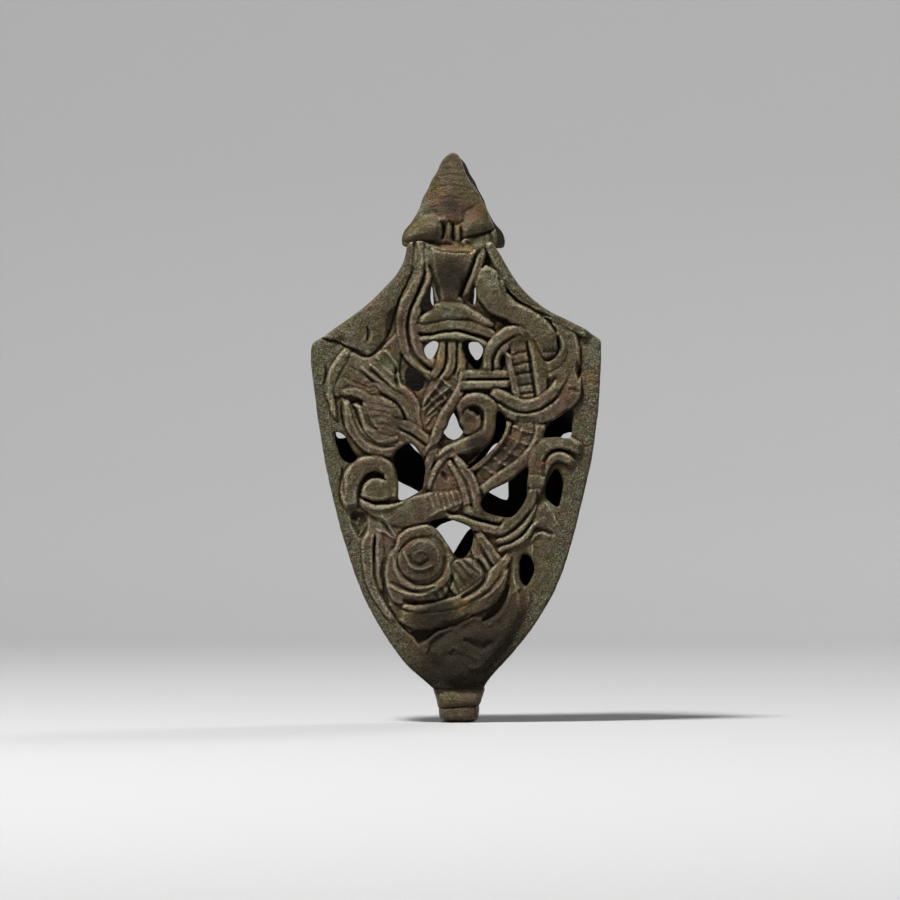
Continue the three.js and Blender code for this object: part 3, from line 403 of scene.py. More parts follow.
    ("strand", 1.7, 2.2, 12, [(402, 616, 12), (418, 619, 20), (436, 618, 21), (452, 614, 19), (467, 608, 16),
        (480, 600, 13), (491, 590, 11), (501, 578, 7)]),
    ("ridge", 0.15, [(414, 612, 4), (430, 613, 6), (446, 611, 5), (460, 607, 3)]),
    ("strand", 1.8, 2.4, 9, [(403, 606, 5), (418, 608, 8), (434, 607, 10), (450, 604, 12), (465, 598.5, 13),
        (478, 590, 14), (489, 580, 14), (499, 569, 12), (509, 556, 7)]),
    ("groove", 0.8, [(405, 600, 5), (411, 601, 8), (421, 603, 6), (435, 602, 3)]),
    ("groove", 0.9, [(478, 560, 3), (484, 568, 4), (486, 575, 5), (481, 584, 6), (472, 592, 6),
        (463, 597, 4)]),
    # The foot's smooth creature, whose body runs into the rims and the tip.
    ("hill", 1.1, 2.5, 16, [(424, 652), (430, 640), (440, 631), (450, 626), (463, 622), (471, 616),
        (481, 617), (490, 618), (498, 611), (504, 601), (506, 590), (506, 574), (510, 560), (516, 552),
        (522, 560), (521, 574), (526, 585), (532, 598), (532, 612), (524, 630), (510, 650), (495, 670),
        (482, 686), (446, 688), (436, 672), (429, 662)]),
    ("strand", 1.7, 2.15, 14, [(468, 612, 5), (478, 607, 10), (488, 600, 13), (496, 591, 13), (502, 580, 9),
        (507, 568, 5)]),
    ("ridge", 0.22, [(506, 573, 2), (499, 584, 4), (489, 594, 4), (477, 601, 3)]),
    ("groove", 0.25, [(470, 602, 2), (481, 595, 4), (490, 588, 3)]),
    ("groove", 1.0, [(484, 619, 4), (490, 614, 8), (497, 607, 10), (503, 597, 8), (507, 586, 4)]),
    ("pit", 0.9, 4, [(409, 632), (418, 627), (430, 628), (441, 625), (436, 633), (428, 641), (420, 645),
        (414, 641)]),
    ("groove", 0.5, [(436, 629, 4), (447, 625, 5), (458, 620, 4), (468, 614, 2)]),
    ("ridge", 0.38, [(426, 650, 4), (429, 641, 6), (437, 634, 7), (447, 630, 7), (457, 629, 7), (465, 623, 8),
        (473, 619, 9), (482, 621, 8), (490, 623, 5)]),
    ("ridge", 0.35, [(487, 626, 3), (494, 621, 6), (501, 614, 7), (507, 604, 7), (511, 594, 6),
        (518, 588, 5)]),
    ("ridge", 0.25, [(518, 587, 3), (525, 590, 5), (529, 597, 5), (528, 606, 3)]),
    ("groove", 0.6, [(466, 640, 5), (474, 644, 9), (482, 647, 10), (489, 643, 6)]),
    ("groove", 0.25, [(500, 622, 5), (498, 634, 8), (492, 646, 6)]),
    ("ridge", 0.25, [(449, 650, 3), (455, 647, 4), (461, 651, 3)]),
    ("groove", 0.2, [(447, 654, 5), (456, 655, 7), (465, 657, 4)]),
    ("ridge", 0.3, [(471, 655, 4), (477, 658, 7), (480, 664, 4)]),
    ("ridge", 0.3, [(469, 666, 3), (476, 667, 4), (483, 664, 3)]),
    ("groove", 0.3, [(468, 672, 4), (477, 673, 6), (486, 670, 4)]),
    ("ridge", 0.2, [(412, 636, 3), (418, 645, 3), (425, 652, 4), (431, 660, 3)]),
    # The tip runs down to the knob's collar.
    ("pit", 0.5, 14, [(415, 676), (430, 672), (458, 670), (488, 671), (505, 676), (500, 706), (415, 706)]),
    # The seat of the head.
    ("pit", 1.1, 3, [(400, 230), (500, 230), (501, 242), (486, 245), (479, 248.5), (466, 252), (452, 253.5),
        (439, 250.5), (431, 247), (424, 243), (401, 243)]),
]

# The head: its outline and the forms on it, in pixels, laid on like the face's.
HEAD_AXIS_COLUMN = 453.5
HEAD_OUTLINE = [
    (453, 154), (448, 156), (443, 161), (440, 166), (437, 173), (432, 181), (428, 190), (423, 199),
    (420, 208), (416, 216), (411, 224), (405, 231), (402.5, 237), (402, 243), (404, 247), (411, 247.5),
    (419, 246.5), (426, 247.5), (432, 251), (440, 255), (452, 258), (466, 256.5), (478, 253.5), (484, 250),
    (490, 248), (496, 245), (497, 237), (493, 225), (488, 213), (483, 203), (477, 191), (470, 182),
    (465, 173), (462, 163), (458, 156)]
HEAD_RELIEF = [
    ("hill", 1.3, 2.38, 30, [(453, 151), (442, 160), (436, 172), (427, 190), (418, 208), (409, 224),
        (400, 235), (400, 246), (410, 255), (430, 256), (452, 264), (478, 261), (498, 252), (499, 236),
        (491, 212), (480, 190), (468, 172), (461, 156)]),
    ("calm", 0.8),
    ("swell", 0.85, 10, [(400, 243), (405, 232), (413, 223), (424, 216), (435, 216), (442, 221), (443, 229),
        (441, 237), (434, 242), (420, 244), (408, 245)]),
    ("swell", 0.82, 9, [(461, 237), (461, 227), (465, 218), (473, 213), (482, 214), (489, 220), (494, 228),
        (488, 233), (476, 237)]),
    ("swell", 0.22, 5, [(475, 238), (484, 235.5), (491, 237), (493, 243), (487, 249), (478, 249)]),
    ("pit", 0.3, 5, [(442, 221), (452, 219), (462, 222), (463, 232), (461, 243), (452, 245), (442, 242)]),
    ("swell", 0.7, 4, [(416, 244), (428, 243), (440, 246), (452, 248), (466, 247), (479, 243), (489, 243),
        (489, 250), (480, 256), (466, 260), (452, 261.5), (438, 258), (427, 253), (418, 250)]),
    ("calm", 0.3),
    ("ridge", 0.12, [(418, 212, 4), (426, 206, 8), (437, 204, 6)]),
    ("groove", 0.2, [(424, 214, 3), (433, 213, 6), (441, 217, 4)]),
    ("ridge", 0.3, [(439, 219.5, 4), (443, 219, 6), (447, 221, 4)]),
    ("groove", 0.22, [(448, 222, 3), (456, 225, 4.5), (463, 222, 3)]),
    ("groove", 0.2, [(463, 222, 3), (466, 213, 6), (473, 208, 4)]),
    ("groove", 0.7, [(442.5, 223, 2), (443.5, 231, 4), (442, 239, 3)]),
    ("ridge", 0.3, [(448, 223, 2), (449, 231, 5), (449, 241, 4)]),
    ("groove", 0.75, [(452.5, 225, 2), (453.5, 233, 3), (454, 241, 2.5)]),
    ("ridge", 0.15, [(457.5, 227, 3), (458, 235, 4), (458, 242, 3)]),
    ("groove", 0.6, [(461, 229, 2), (462, 235, 4), (461.5, 241, 3)]),
    ("groove", 0.18, [(401, 243, 2), (412, 244, 4), (422, 243.5, 4), (431, 242, 3), (439, 240, 2)]),
    ("groove", 0.5, [(461, 241, 2), (467, 238.5, 4), (476, 236.5, 4), (486, 234, 3), (493, 231, 2)]),
    ("groove", 0.15, [(430, 250, 3), (440, 253, 4), (452, 255, 4), (464, 253.5, 3)]),
    ("groove", 0.3, [(424, 243, 3), (434, 243, 5), (444, 245, 5), (452, 246, 3)]),
    ("groove", 0.3, [(455, 243, 3), (460, 244, 6), (463, 248, 4)]),
    ("groove", 0.3, [(466, 243, 3), (470, 247, 7), (474, 250, 4)]),
    ("groove", 0.25, [(489, 234, 3), (492, 240, 5), (491, 247, 3)]),
    ("groove", 0.08, [(444, 171, 3), (452, 170, 4), (461, 171, 3)]),
    ("groove", 0.08, [(438, 182, 3), (452, 181, 4), (467, 183, 3)]),
    ("groove", 0.1, [(434, 191, 3), (452, 190.5, 4), (471, 192, 3)]),
    ("groove", 0.08, [(430, 200, 3), (450, 199, 4), (474, 201, 3)]),
    ("groove", 0.12, [(441, 177, 3), (452, 175.5, 4), (464, 178, 3)]),
    ("groove", 0.14, [(438, 188, 3), (452, 186.5, 4), (467, 189, 3)]),
    ("groove", 0.12, [(429, 194, 3), (437, 193, 4), (444, 194, 3)]),
    ("groove", 0.1, [(460, 195, 3), (469, 194, 4), (477, 197, 3)]),
    ("groove", 0.12, [(446, 205, 6), (450, 213, 8), (456, 219, 6)]),
    ("groove", 0.15, [(416, 248, 4), (424, 247, 6), (432, 249, 4)]),
]

# Where the colour is darker, where ochre earth is left, where the metal shows red and where pale green
# corrosion lies: middles and reaches in pixels. The darker places are partly darker patina and partly
# painted shade, under the curl and towards the tip where the light falls off.
DARK_PATINA_AND_SHADE = [
    (488, 640, 36), (462, 674, 34), (508, 606, 22), (452, 286, 22), (448, 640, 20), (424, 620, 18),
    (438, 604, 14), (556, 350, 12), (395, 320, 16), (426, 560, 22), (470, 412, 16), (424, 700, 60),
    (476, 660, 26), (456, 682, 22), (480, 447, 11), (508, 452, 16), (468, 578, 14), (450, 272, 18),
    (452, 206, 13), (452, 236, 9), (400, 420, 12), (436, 400, 12), (522, 378, 12), (486, 512, 12),
    (474, 655, 28), (479, 445, 13)]
OCHRE = [
    (438, 578, 9), (497, 607, 11), (484, 500, 7), (437, 193, 6), (457, 232, 8), (442, 362, 9), (476, 426, 7),
    (503, 575, 9), (462, 606, 9), (440, 346, 7), (462, 362, 7), (586, 380, 12), (408, 603, 9), (356, 402, 6),
    (446, 252, 7), (470, 252, 6), (489, 262, 7), (429, 300, 7), (424, 366, 7), (470, 590, 9), (424, 648, 9),
    (530, 350, 7), (500, 440, 7), (410, 455, 7), (460, 250, 7)]
REDDENED = [
    (393, 320, 11), (510, 440, 10), (446, 246, 10), (474, 212, 11), (480, 420, 8), (465, 398, 8),
    (500, 552, 8), (496, 540, 7), (500, 250, 7), (412, 392, 7), (447, 476, 9), (478, 462, 7), (452, 222, 8),
    (480, 622, 9), (516, 600, 11), (418, 646, 10), (440, 196, 7), (425, 430, 10), (372, 300, 10),
    (560, 392, 10), (540, 464, 8)]
PALE = [
    (345, 346, 9), (364, 353, 9), (491, 281, 11), (427, 258, 8), (422, 212, 8), (485, 243, 9), (452, 316, 9),
    (452, 331, 8), (478, 662, 7), (334, 364, 8), (497, 346, 8), (521, 384, 8), (360, 492, 9), (380, 520, 10),
    (428, 543, 8), (549, 502, 8), (546, 528, 9), (594, 352, 10), (507, 573, 6), (434, 607, 8), (386, 372, 9),
    (470, 380, 8), (555, 446, 8), (455, 650, 6), (522, 412, 8), (404, 508, 9)]

PATINA_AND_SHADE_PLACES = [("dark_patina_and_shade", DARK_PATINA_AND_SHADE), ("ochre", OCHRE), ("reddened", REDDENED), ("pale", PALE)]

# Depths, measured outwards from the chape's middle.
FACE_PLANE, HEAD_PLANE = 4.2, 4.1
FOOT_DEPTH_SHARE = 0.62
WALL_THICKNESS, WALL_STEP = 1.9, 0.3
WALL_OUTER_POINTS, WALL_INNER_POINTS = 29, 5
WALL_RIM = 0.5  # how much a wall looks like a rim
# The inner side lies in full shade further in than this, and in part shade along the outline.
INNER_SHADE_FROM, INNER_EDGE_SHADE = 0.4, 0.75
SHARP_ANGLE = 0.9

# The knob under the tip: half widths and rows in pixels, half depths in millimetres.
KNOB_COLUMN, KNOB_STEP, KNOB_SIDES = 459, 0.7, 96
KNOB_CREASE_ROW, KNOB_TILT, KNOB_TILT_REACH = 706, 1.5, 5
KNOB_PROFILE = [
    (0, 685, 0), (12, 685, 1.6), (22, 685.6, 2.7), (25.6, 688, 3.0), (25.2, 691.5, 3.1), (23.8, 695.5, 3.5),
    (22.7, 699, 3.7), (21.8, 703, 3.65), (20.8, 705.4, 3.45), (19.9, 706.6, 3.2), (20.3, 708.2, 3.45),
    (20.1, 712, 3.5), (19.4, 716.5, 3.45), (17.6, 719.6, 3.1), (13, 721.4, 2.3), (6, 722, 1.1), (0, 722, 0)]


def to_mm(points):
    """Columns become millimetres right of the axis, rows millimetres above the knob's end, and a
    third number, a width, is scaled alike."""
    pixels = np.array(points, float)
    sizes = pixels * PIXEL
    sizes[:, 0] -= AXIS_COLUMN * PIXEL
    sizes[:, 1] = END_ROW * PIXEL - sizes[:, 1]
    return sizes


def smooth_line(points, closed=False, step=LINE_STEP):
    """A Catmull-Rom curve through the points, sampled again at even steps of its length."""
    if closed:
        ends = np.vstack([points[-1:], points, points[:2]])
    else:
        ends = np.vstack([2 * points[0] - points[1], points, 2 * points[-1] - points[-2]])
    share = np.linspace(0, 1, CURVE_STEPS, endpoint=False)[:, None, None]
    one, two, three, four = ends[:-3], ends[1:-2], ends[2:-1], ends[3:]
    curve = (2 * two + (three - one) * share + (2 * one - 5 * two + 4 * three - four) * share ** 2
             + (3 * two - one - 3 * three + four) * share ** 3) / 2
    curve = curve.transpose(1, 0, 2).reshape(-1, points.shape[1])
    curve = np.vstack([curve, points[:1] if closed else points[-1:]])
    lengths = np.hypot(*np.diff(curve[:, :2], axis=0).T)
    length = np.concatenate([[0], np.cumsum(lengths)])
    even = np.linspace(0, length[-1], max(int(length[-1] / step), FEWEST_STEPS) + 1)
    return np.stack([np.interp(even, length, column) for column in curve.T], axis=1)


def headings(line):
    """The unit direction at each point of a line."""
    ahead = np.gradient(line, axis=0)
    return ahead / np.hypot(*ahead.T)[:, None]


def to_left(line):
    """The unit direction to the left hand at each point of a line."""
    ahead = headings(line)
    return np.stack([-ahead[:, 1], ahead[:, 0]], axis=1)


def soften(values, radius, known=None):
    """A Gaussian blur, row by row and column by column. Where known is given, only its cells count."""
    reach = max(int(3 * radius), 1)
    weights = np.exp(-0.5 * (np.arange(-reach, reach + 1) / radius) ** 2)

    def blur(grid):
        for axis in (0, 1):
            padded = np.pad(grid, [(reach, reach) if axis == k else (0, 0) for k in (0, 1)], mode="edge")
            grid = sum(weight * np.take(padded, range(shift, shift + grid.shape[axis]), axis=axis)
                       for shift, weight in enumerate(weights))
        return grid / weights.sum() ** 2

    if known is None:
        return blur(values)
    return blur(values * known) / np.maximum(blur(known.astype(float)), TINY)


def shoulder_share(depth, radius):
    """A full quarter round: 0 at a form's edge, 1 from one radius inwards."""
    inwards = np.clip(depth / np.maximum(radius, TINY), 0, 1)
    return (1 - (1 - inwards) ** FULLNESS) ** (1 / FULLNESS)


def gentle_share(depth, width):
    """0 at a form's edge, rising to 1 one width further in, with no corner at either end."""
    inwards = np.clip(depth / width, 0, 1)
    return inwards ** 2 * (3 - 2 * inwards)


def cloudy(x, y, size, seed):
    """Values from -1 to 1 that wander smoothly over clouds of the given size: seeded random numbers
    on a square lattice, blended between its points."""
    column, row = (x - x.min()) / size, (y - y.min()) / size
    shape = (int(row.max()) + 2, int(column.max()) + 2)
    lattice = np.random.default_rng(seed).uniform(-1, 1, shape)
    left, low = column.astype(int), row.astype(int)
    across, up = gentle_share(column - left, 1), gentle_share(row - low, 1)
    below = lattice[low, left] * (1 - across) + lattice[low, left + 1] * across
    above = lattice[low + 1, left] * (1 - across) + lattice[low + 1, left + 1] * across
    return below * (1 - up) + above * up


def inside(outline, x, y):
    """How far points lie inside a closed outline, negative outside it: the distance to the nearest
    edge, with its sign from the number of edges crossed on the way out to the right."""
    start, end = outline, np.roll(outline, -1, axis=0)
    span = end - start
    length = np.maximum((span ** 2).sum(axis=1), TINY)
    rise = np.where(span[:, 1] == 0, TINY, span[:, 1])
    result = np.empty(x.shape)
    for row in range(len(x)):
        right, up = x[row][:, None] - start[:, 0], y[row][:, None] - start[:, 1]
        along = np.clip((right * span[:, 0] + up * span[:, 1]) / length, 0, 1)
        gap = np.hypot(along * span[:, 0] - right, along * span[:, 1] - up).min(axis=1)
        crossed = ((up < 0) != (up < span[:, 1])) & (right < up * span[:, 0] / rise)
        result[row] = gap * np.where(crossed.sum(axis=1) % 2, 1, -1)
    return result


class Relief:
    """A grid of heights over one face, on which the forms are laid one after another."""

    def __init__(self, outline, ground, forms):
        low, high = outline.min(axis=0) - GRID, outline.max(axis=0) + GRID
        self.columns = np.arange(low[0], high[0] + GRID, GRID)
        self.rows = np.arange(low[1], high[1] + GRID, GRID)
        self.x, self.y = np.meshgrid(self.columns, self.rows)
        self.height = np.full(self.x.shape, ground)
        self.depth = inside(outline, self.x, self.y)
        self.outer = self.depth.copy()
        self.rim = np.zeros(self.x.shape)
        self.drawn_x, self.drawn_y = self.x.copy(), self.y.copy()
        for waver, wave, seed in HAND_WAVES:
            self.drawn_x += waver * cloudy(self.x, self.y, wave, seed)
            self.drawn_y += waver * cloudy(self.x, self.y, wave, seed + 1)
        for kind, *values in forms:
            getattr(self, kind)(*values)

    def window(self, points, margin):
        """The part of the grid that lies round some points, with its places as a list."""
        low, high = points[:, :2].min(axis=0) - margin, points[:, :2].max(axis=0) + margin
        part = (slice(*np.searchsorted(self.rows, [low[1], high[1]])),
                slice(*np.searchsorted(self.columns, [low[0], high[0]])))
        return part, self.drawn_x[part], self.drawn_y[part]

    def around(self, points):
        """For the grid points round a line: its part of the grid, the distance along the line, the
        distance across it as a share of the half width, the half width, and the line's length."""
        line = smooth_line(to_mm(points))
        margin = line[:, 2].max() / 2 + DIP_REACH
        part, x, y = self.window(line, margin)
        far = (x.ravel()[:, None] - line[:, 0]) ** 2 + (y.ravel()[:, None] - line[:, 1]) ** 2
        near = far.argmin(axis=1)
        ahead = headings(line[:, :2])
        offset = np.stack([x.ravel(), y.ravel()], axis=1) - line[near, :2]
        forward = (offset * ahead[near]).sum(axis=1)
        sideways = offset[:, 0] * ahead[near, 1] - offset[:, 1] * ahead[near, 0]
        steps = np.hypot(*np.diff(line[:, :2], axis=0).T)
        beyond = np.where((near == 0) | (near == len(line) - 1), np.abs(forward), 0)
        half = np.maximum(line[near, 2] / 2, LEAST_HALF_WIDTH)
        across = np.hypot(sideways, beyond) / half * np.sign(sideways + TINY)
        along = near * steps.mean() + forward
        return part, along.reshape(x.shape), across.reshape(x.shape), half.reshape(x.shape), steps.sum()

    def within(self, points, margin=DIP_REACH):
        """For the grid points in and round a closed outline: their part and their depth inside it."""
        outline = smooth_line(to_mm(points), closed=True)[:-1]
        part, x, y = self.window(outline, margin)
        return part, inside(outline, x, y)

    def lay(self, part, depth, base, top, shoulder, fade=1):
        """Lays a form on the grid: from base at its edge to top by a full quarter round. Round it is a
        dip that fades outwards, and it cuts no deeper than a trench into what it lies on."""
        dip = DIP_DEPTH * np.exp(-(np.minimum(depth, 0) / DIP_WIDTH) ** 2)
        form = base + (top - base) * shoulder_share(depth, shoulder)
        under = self.height[part]
        form = np.maximum(form, under - TRENCH)
        self.height[part] += fade * (np.where(depth > 0, form, under - dip) - under)

    def strand(self, base, top, shoulder, points):
        """A form laid along a line, whose two ends sink into what lies under them."""
        part, along, across, half, length = self.around(points)
        reach = np.minimum(half, END_REACH)
        fade = gentle_share(np.minimum(along, length - along) + half, END_FADE * reach)
        self.lay(part, (1 - np.abs(across)) * half, base, top, np.minimum(half, shoulder * PIXEL), fade)

    def lobe(self, base, top, shoulder, points):
        """A form laid inside an outline."""
        part, depth = self.within(points)
        self.lay(part, depth, base, top, min(shoulder * PIXEL, depth.max()))

    def hill(self, base, top, shoulder, points):
        """The higher of what is there and a gentle rise from base to top inside an outline."""
        part, depth = self.within(points)
        rise = gentle_share(depth, shoulder * PIXEL)
        self.height[part] = np.maximum(self.height[part], base + (top - base) * rise)

    def swell(self, rise, shoulder, points):
        """Adds a gentle rise inside an outline to what is there."""
        part, depth = self.within(points)
        self.height[part] += rise * gentle_share(depth, shoulder * PIXEL)

    def pit(self, depth, shoulder, points):
        """A swell that goes down."""
        self.swell(-depth, shoulder, points)

    def calm(self, radius):
        """Rounds off all that has been laid so far."""
        self.height = soften(self.height, radius / GRID)

    def ridge(self, height, points):
        """Adds a soft line: its height along the middle, fading as a Gaussian across its width."""
        part, _, across, _, _ = self.around(points)
        self.height[part] += height * np.exp(-LINE_SHARPNESS * across ** 2)

    def groove(self, depth, points):
        """A ridge that goes down."""
        self.ridge(-depth, points)

    def rungs(self, depth, pitch, points):
        """Cuts across a strand at even steps along it: the cube of a raised cosine."""
        part, along, across, _, _ = self.around(points)
        wave = 0.5 + 0.5 * np.cos(2 * np.pi * along / (pitch * PIXEL))
        self.height[part] -= depth * wave ** 3 * (np.abs(across) < 1)

    def lozenges(self, depth, pitch, points):
        """Two slanting sets of such cuts that cross, so that lozenges stand between them."""
        part, along, across, half, _ = self.around(points)
        turns = 2 * np.pi / (pitch * PIXEL)
        one = 0.5 + 0.5 * np.cos(turns * (along + across * half))
        other = 0.5 + 0.5 * np.cos(turns * (along - across * half))
        self.height[part] -= depth * np.maximum(one, other) ** 3 * (np.abs(across) < 1)


def face_relief(left_side, right_side, left_mouth, right_mouth):
    """The heights of a face inside its outline, with its holes. The sides keep inside the walls'
    crown, so that the face and the wall meet flush. How much a place looks like a rim is one and a half
    less its distance from the edge in rim widths, kept between 0 and 1."""
    left, right = smooth_line(to_mm(left_side)), smooth_line(to_mm(right_side))
    outline = np.vstack([
        smooth_line(to_mm(left_mouth)), left + WALL_BULGE * to_left(left),
        (right - WALL_BULGE * to_left(right))[::-1], smooth_line(to_mm(right_mouth))[::-1]])
    relief = Relief(outline, GROUND, FACE_RELIEF)
    for hole in HOLES:
        part, depth = relief.within(hole, HOLE_REACH)
        relief.depth[part] = np.minimum(relief.depth[part], -depth)
    for rise, size, seed in GRAINS:
        relief.height += rise * cloudy(relief.x, relief.y, size, seed)
    relief.rim = np.clip(1.5 - relief.outer / RIM_WIDTH, 0, 1)
    return relief


def across_head(points):
    """A line of the back's own outline, as it is drawn before it is turned to the back."""
    return [(2 * HEAD_AXIS_COLUMN - column, row) for column, row in points]


def standing(points):
    """Stands the flat-drawn points up: right stays right, up the face becomes up, and outwards becomes
    depth, which shrinks evenly from the head down to the tip."""
    share = FOOT_DEPTH_SHARE + (1 - FOOT_DEPTH_SHARE) * points[:, 1] / CHAPE_HEIGHT
    return np.stack([points[:, 0], -points[:, 2] * share, points[:, 1]], axis=1) * MILLIMETRE


def turned(points):
    """Turns points half round the upright axis through the head, from the front to the back."""
    middle = (HEAD_AXIS_COLUMN - AXIS_COLUMN) * PIXEL * MILLIMETRE
    return np.stack([2 * middle - points[:, 0], -points[:, 1], points[:, 2]], axis=1)


def sampled(grid, relief, x, y):
    """A grid's values between its points, by bilinear interpolation."""
    across = np.clip((x - relief.columns[0]) / GRID, 0, len(relief.columns) - LAST_CELL)
    up = np.clip((y - relief.rows[0]) / GRID, 0, len(relief.rows) - LAST_CELL)
    column, row = across.astype(int), up.astype(int)
    across, up = across - column, up - row
    low = grid[row, column] * (1 - across) + grid[row, column + 1] * across
    high = grid[row + 1, column] * (1 - across) + grid[row + 1, column + 1] * across
    return low * (1 - up) + high * up


def new_object(name, points, faces, material):
    """A smooth-shaded mesh object from points in metres and faces of any size, with its sharp edges
    marked by their angle in radians."""
    mesh = bpy.data.meshes.new(name)
    mesh.from_pydata(points.tolist(), [], faces)
    mesh.materials.append(material)
    mesh.shade_smooth()
    mesh.set_sharp_from_angle(angle=SHARP_ANGLE)
    piece = bpy.data.objects.new(name, mesh)
    bpy.context.scene.collection.objects.link(piece)
    return piece


def set_attribute(piece, name, values):
    """Gives each point of a piece a number that its material can read."""
    layer = piece.data.attributes.new(name, "FLOAT", "POINT")
    layer.data.foreach_set("value", np.ascontiguousarray(values, dtype=np.float32))


def sharpen(piece, pairs):
    """Marks the edges between pairs of points as sharp."""
    mesh, count = piece.data, len(piece.data.vertices)
    ends = np.empty(2 * len(mesh.edges), dtype=np.int32)
    mesh.edges.foreach_get("vertices", ends)
    ends = np.sort(ends.reshape(-1, 2).astype(np.int64), axis=1)
    pairs = np.sort(pairs.astype(np.int64), axis=1)
    layer = mesh.attributes.get("sharp_edge") or mesh.attributes.new("sharp_edge", "BOOLEAN", "EDGE")
    sharp = np.empty(len(mesh.edges), dtype=bool)
    layer.data.foreach_get("value", sharp)
    sharp |= np.isin(ends[:, 0] * count + ends[:, 1], pairs[:, 0] * count + pairs[:, 1])
    layer.data.foreach_set("value", sharp)


def patches(relief, places):
    """1 at the middle of each place, fading out over its reach as a Gaussian."""
    return sum(np.exp(-((relief.drawn_x - x) ** 2 + (relief.drawn_y - y) ** 2) / reach ** 2)
               for x, y, reach in to_mm(places))


def worn_heights(relief):
    """The heights that are cast, their edges rounded off, and two maps for the patina and the painted
    light: a crest stands above the mean of what lies close round it and takes wear and a painted
    highlight, and a hollow lies below the mean of a wider round and takes patina and painted shade."""
    solid = relief.depth > 0
    height = soften(relief.height, SOFTENING / GRID, solid)
    crest = height - soften(height, CREST_REACH / GRID, solid)
    hollow = soften(height, HOLLOW_REACH / GRID, solid) - height - CREST_SHARE * crest
    rounding = 1 - shoulder_share(relief.depth, EDGE_ROUNDING)
    hollow -= EDGE_WEAR * rounding
    return np.maximum(height - EDGE_ROUNDING * rounding, THINNEST), crest, hollow


def cells_inside(depth):
    """The grid cells whose middle lies inside. Where two of them touch by a corner only, a third is
    added between them, so that the piece's walls never share an edge."""
    kept = (depth[:-1, :-1] + depth[1:, :-1] + depth[:-1, 1:] + depth[1:, 1:]) / 4 > 0
    for _ in range(EDGE_PASSES):
        rising = kept[:-1, :-1] & kept[1:, 1:] & ~kept[1:, :-1] & ~kept[:-1, 1:]
        falling = ~kept[:-1, :-1] & ~kept[1:, 1:] & kept[1:, :-1] & kept[:-1, 1:]
        kept[1:, :-1] |= rising
        kept[1:, 1:] |= falling
    return kept


def onto_outline(relief, x, y, edge):
    """Moves the points of the edge down the slope of the depth, until they lie on the outline."""
    up, right = np.gradient(relief.depth, GRID)
    for _ in range(EDGE_PASSES):
        off = sampled(relief.depth, relief, x, y)
        slope = np.stack([sampled(right, relief, x, y), sampled(up, relief, x, y)])
        slope /= np.maximum(np.hypot(*slope), GENTLEST_SLOPE)
        step = np.clip(off, -GRID, GRID) * edge
        x, y = x - step * slope[0], y - step * slope[1]
    return x, y


def flat_filling(places, edges):
    """The triangles that fill a flat outline with holes, listed so that they face down."""
    flat = np.column_stack([places, np.zeros(len(places))])
    sheet, filling = bpy.data.meshes.new("filling"), bmesh.new()
    sheet.from_pydata(flat.tolist(), edges.tolist(), [])
    filling.from_mesh(sheet)
    bmesh.ops.triangle_fill(filling, use_beauty=True, use_dissolve=False, edges=filling.edges[:])
    filling.to_mesh(sheet)
    filling.free()
    corners = np.empty(len(sheet.loops), dtype=np.int32)
    sheet.loops.foreach_get("vertex_index", corners)
    bpy.data.meshes.remove(sheet)
    corners = corners.reshape(-1, 3)
    one, two, three = flat[corners].transpose(1, 0, 2)
    return np.where(np.cross(two - one, three - one)[:, 2:] > 0, corners[:, ::-1], corners)


def relief_piece(name, relief, plane, back, material):
    """A closed casting from a relief. The grid cells inside the outline make its outer side, with the
    heights measured outwards from the plane, and the grid points along the outline move onto it.
    Walls go down from them to a flat inner side in the plane."""
    height, crest, hollow = worn_heights(relief)
    kept = cells_inside(relief.depth)
    framed = np.pad(kept, 1)
    touching = [framed[:-1, :-1], framed[1:, :-1], framed[:-1, 1:], framed[1:, 1:]]
    used, full = np.any(touching, axis=0), np.all(touching, axis=0)
    number = np.where(used, np.cumsum(used).reshape(used.shape) - 1, -1)
    edge = (used & ~full)[used]
    x, y = onto_outline(relief, relief.x[used], relief.y[used], edge)
    z = np.where(edge, sampled(height, relief, x, y), height[used])
    top = np.stack([x, y, plane + z], axis=1)

    row, column = np.nonzero(kept)
    corners = np.stack([number[row, column], number[row, column + 1], number[row + 1, column + 1],
                        number[row + 1, column]], axis=1)
    lone = [~framed[:-2, 1:-1], ~framed[1:-1, 2:], ~framed[2:, 1:-1], ~framed[1:-1, :-2]]
    rim = np.vstack([corners[side[row, column]][:, [k, (k + 1) % 4]] for k, side in enumerate(lone)])
    ring = np.unique(rim)
    low = np.full(len(top), -1)
    low[ring] = len(top) + np.arange(len(ring))
    bottom = top[ring].copy()
    bottom[:, 2] = plane
    walls = np.stack([rim[:, 1], rim[:, 0], low[rim[:, 0]], low[rim[:, 1]]], axis=1)
    floor = flat_filling(bottom[:, :2], low[rim] - len(top)) + len(top)

    points = standing(np.vstack([top, bottom]))
    if back:
        points = turned(points)
    piece = new_object(name, points, corners.tolist() + walls.tolist() + floor.tolist(), material)
    sharpen(piece, np.vstack([rim, low[rim]]))
    above, below = np.zeros(len(top)), np.zeros(len(ring))
    inner = np.where(relief.outer[used][ring] > INNER_SHADE_FROM, 1, INNER_EDGE_SHADE)
    layers = [("hollow", hollow[used], below), ("crest", crest[used], below), ("inner", above, inner)]
    maps = [("rim", relief.rim)] + [(layer, patches(relief, places)) for layer, places in PATINA_AND_SHADE_PLACES]
    layers += [(layer, values[used], values[used][ring]) for layer, values in maps]
    for layer, outside, underneath in layers:
        set_attribute(piece, layer, np.concatenate([outside, underneath]))
    return piece


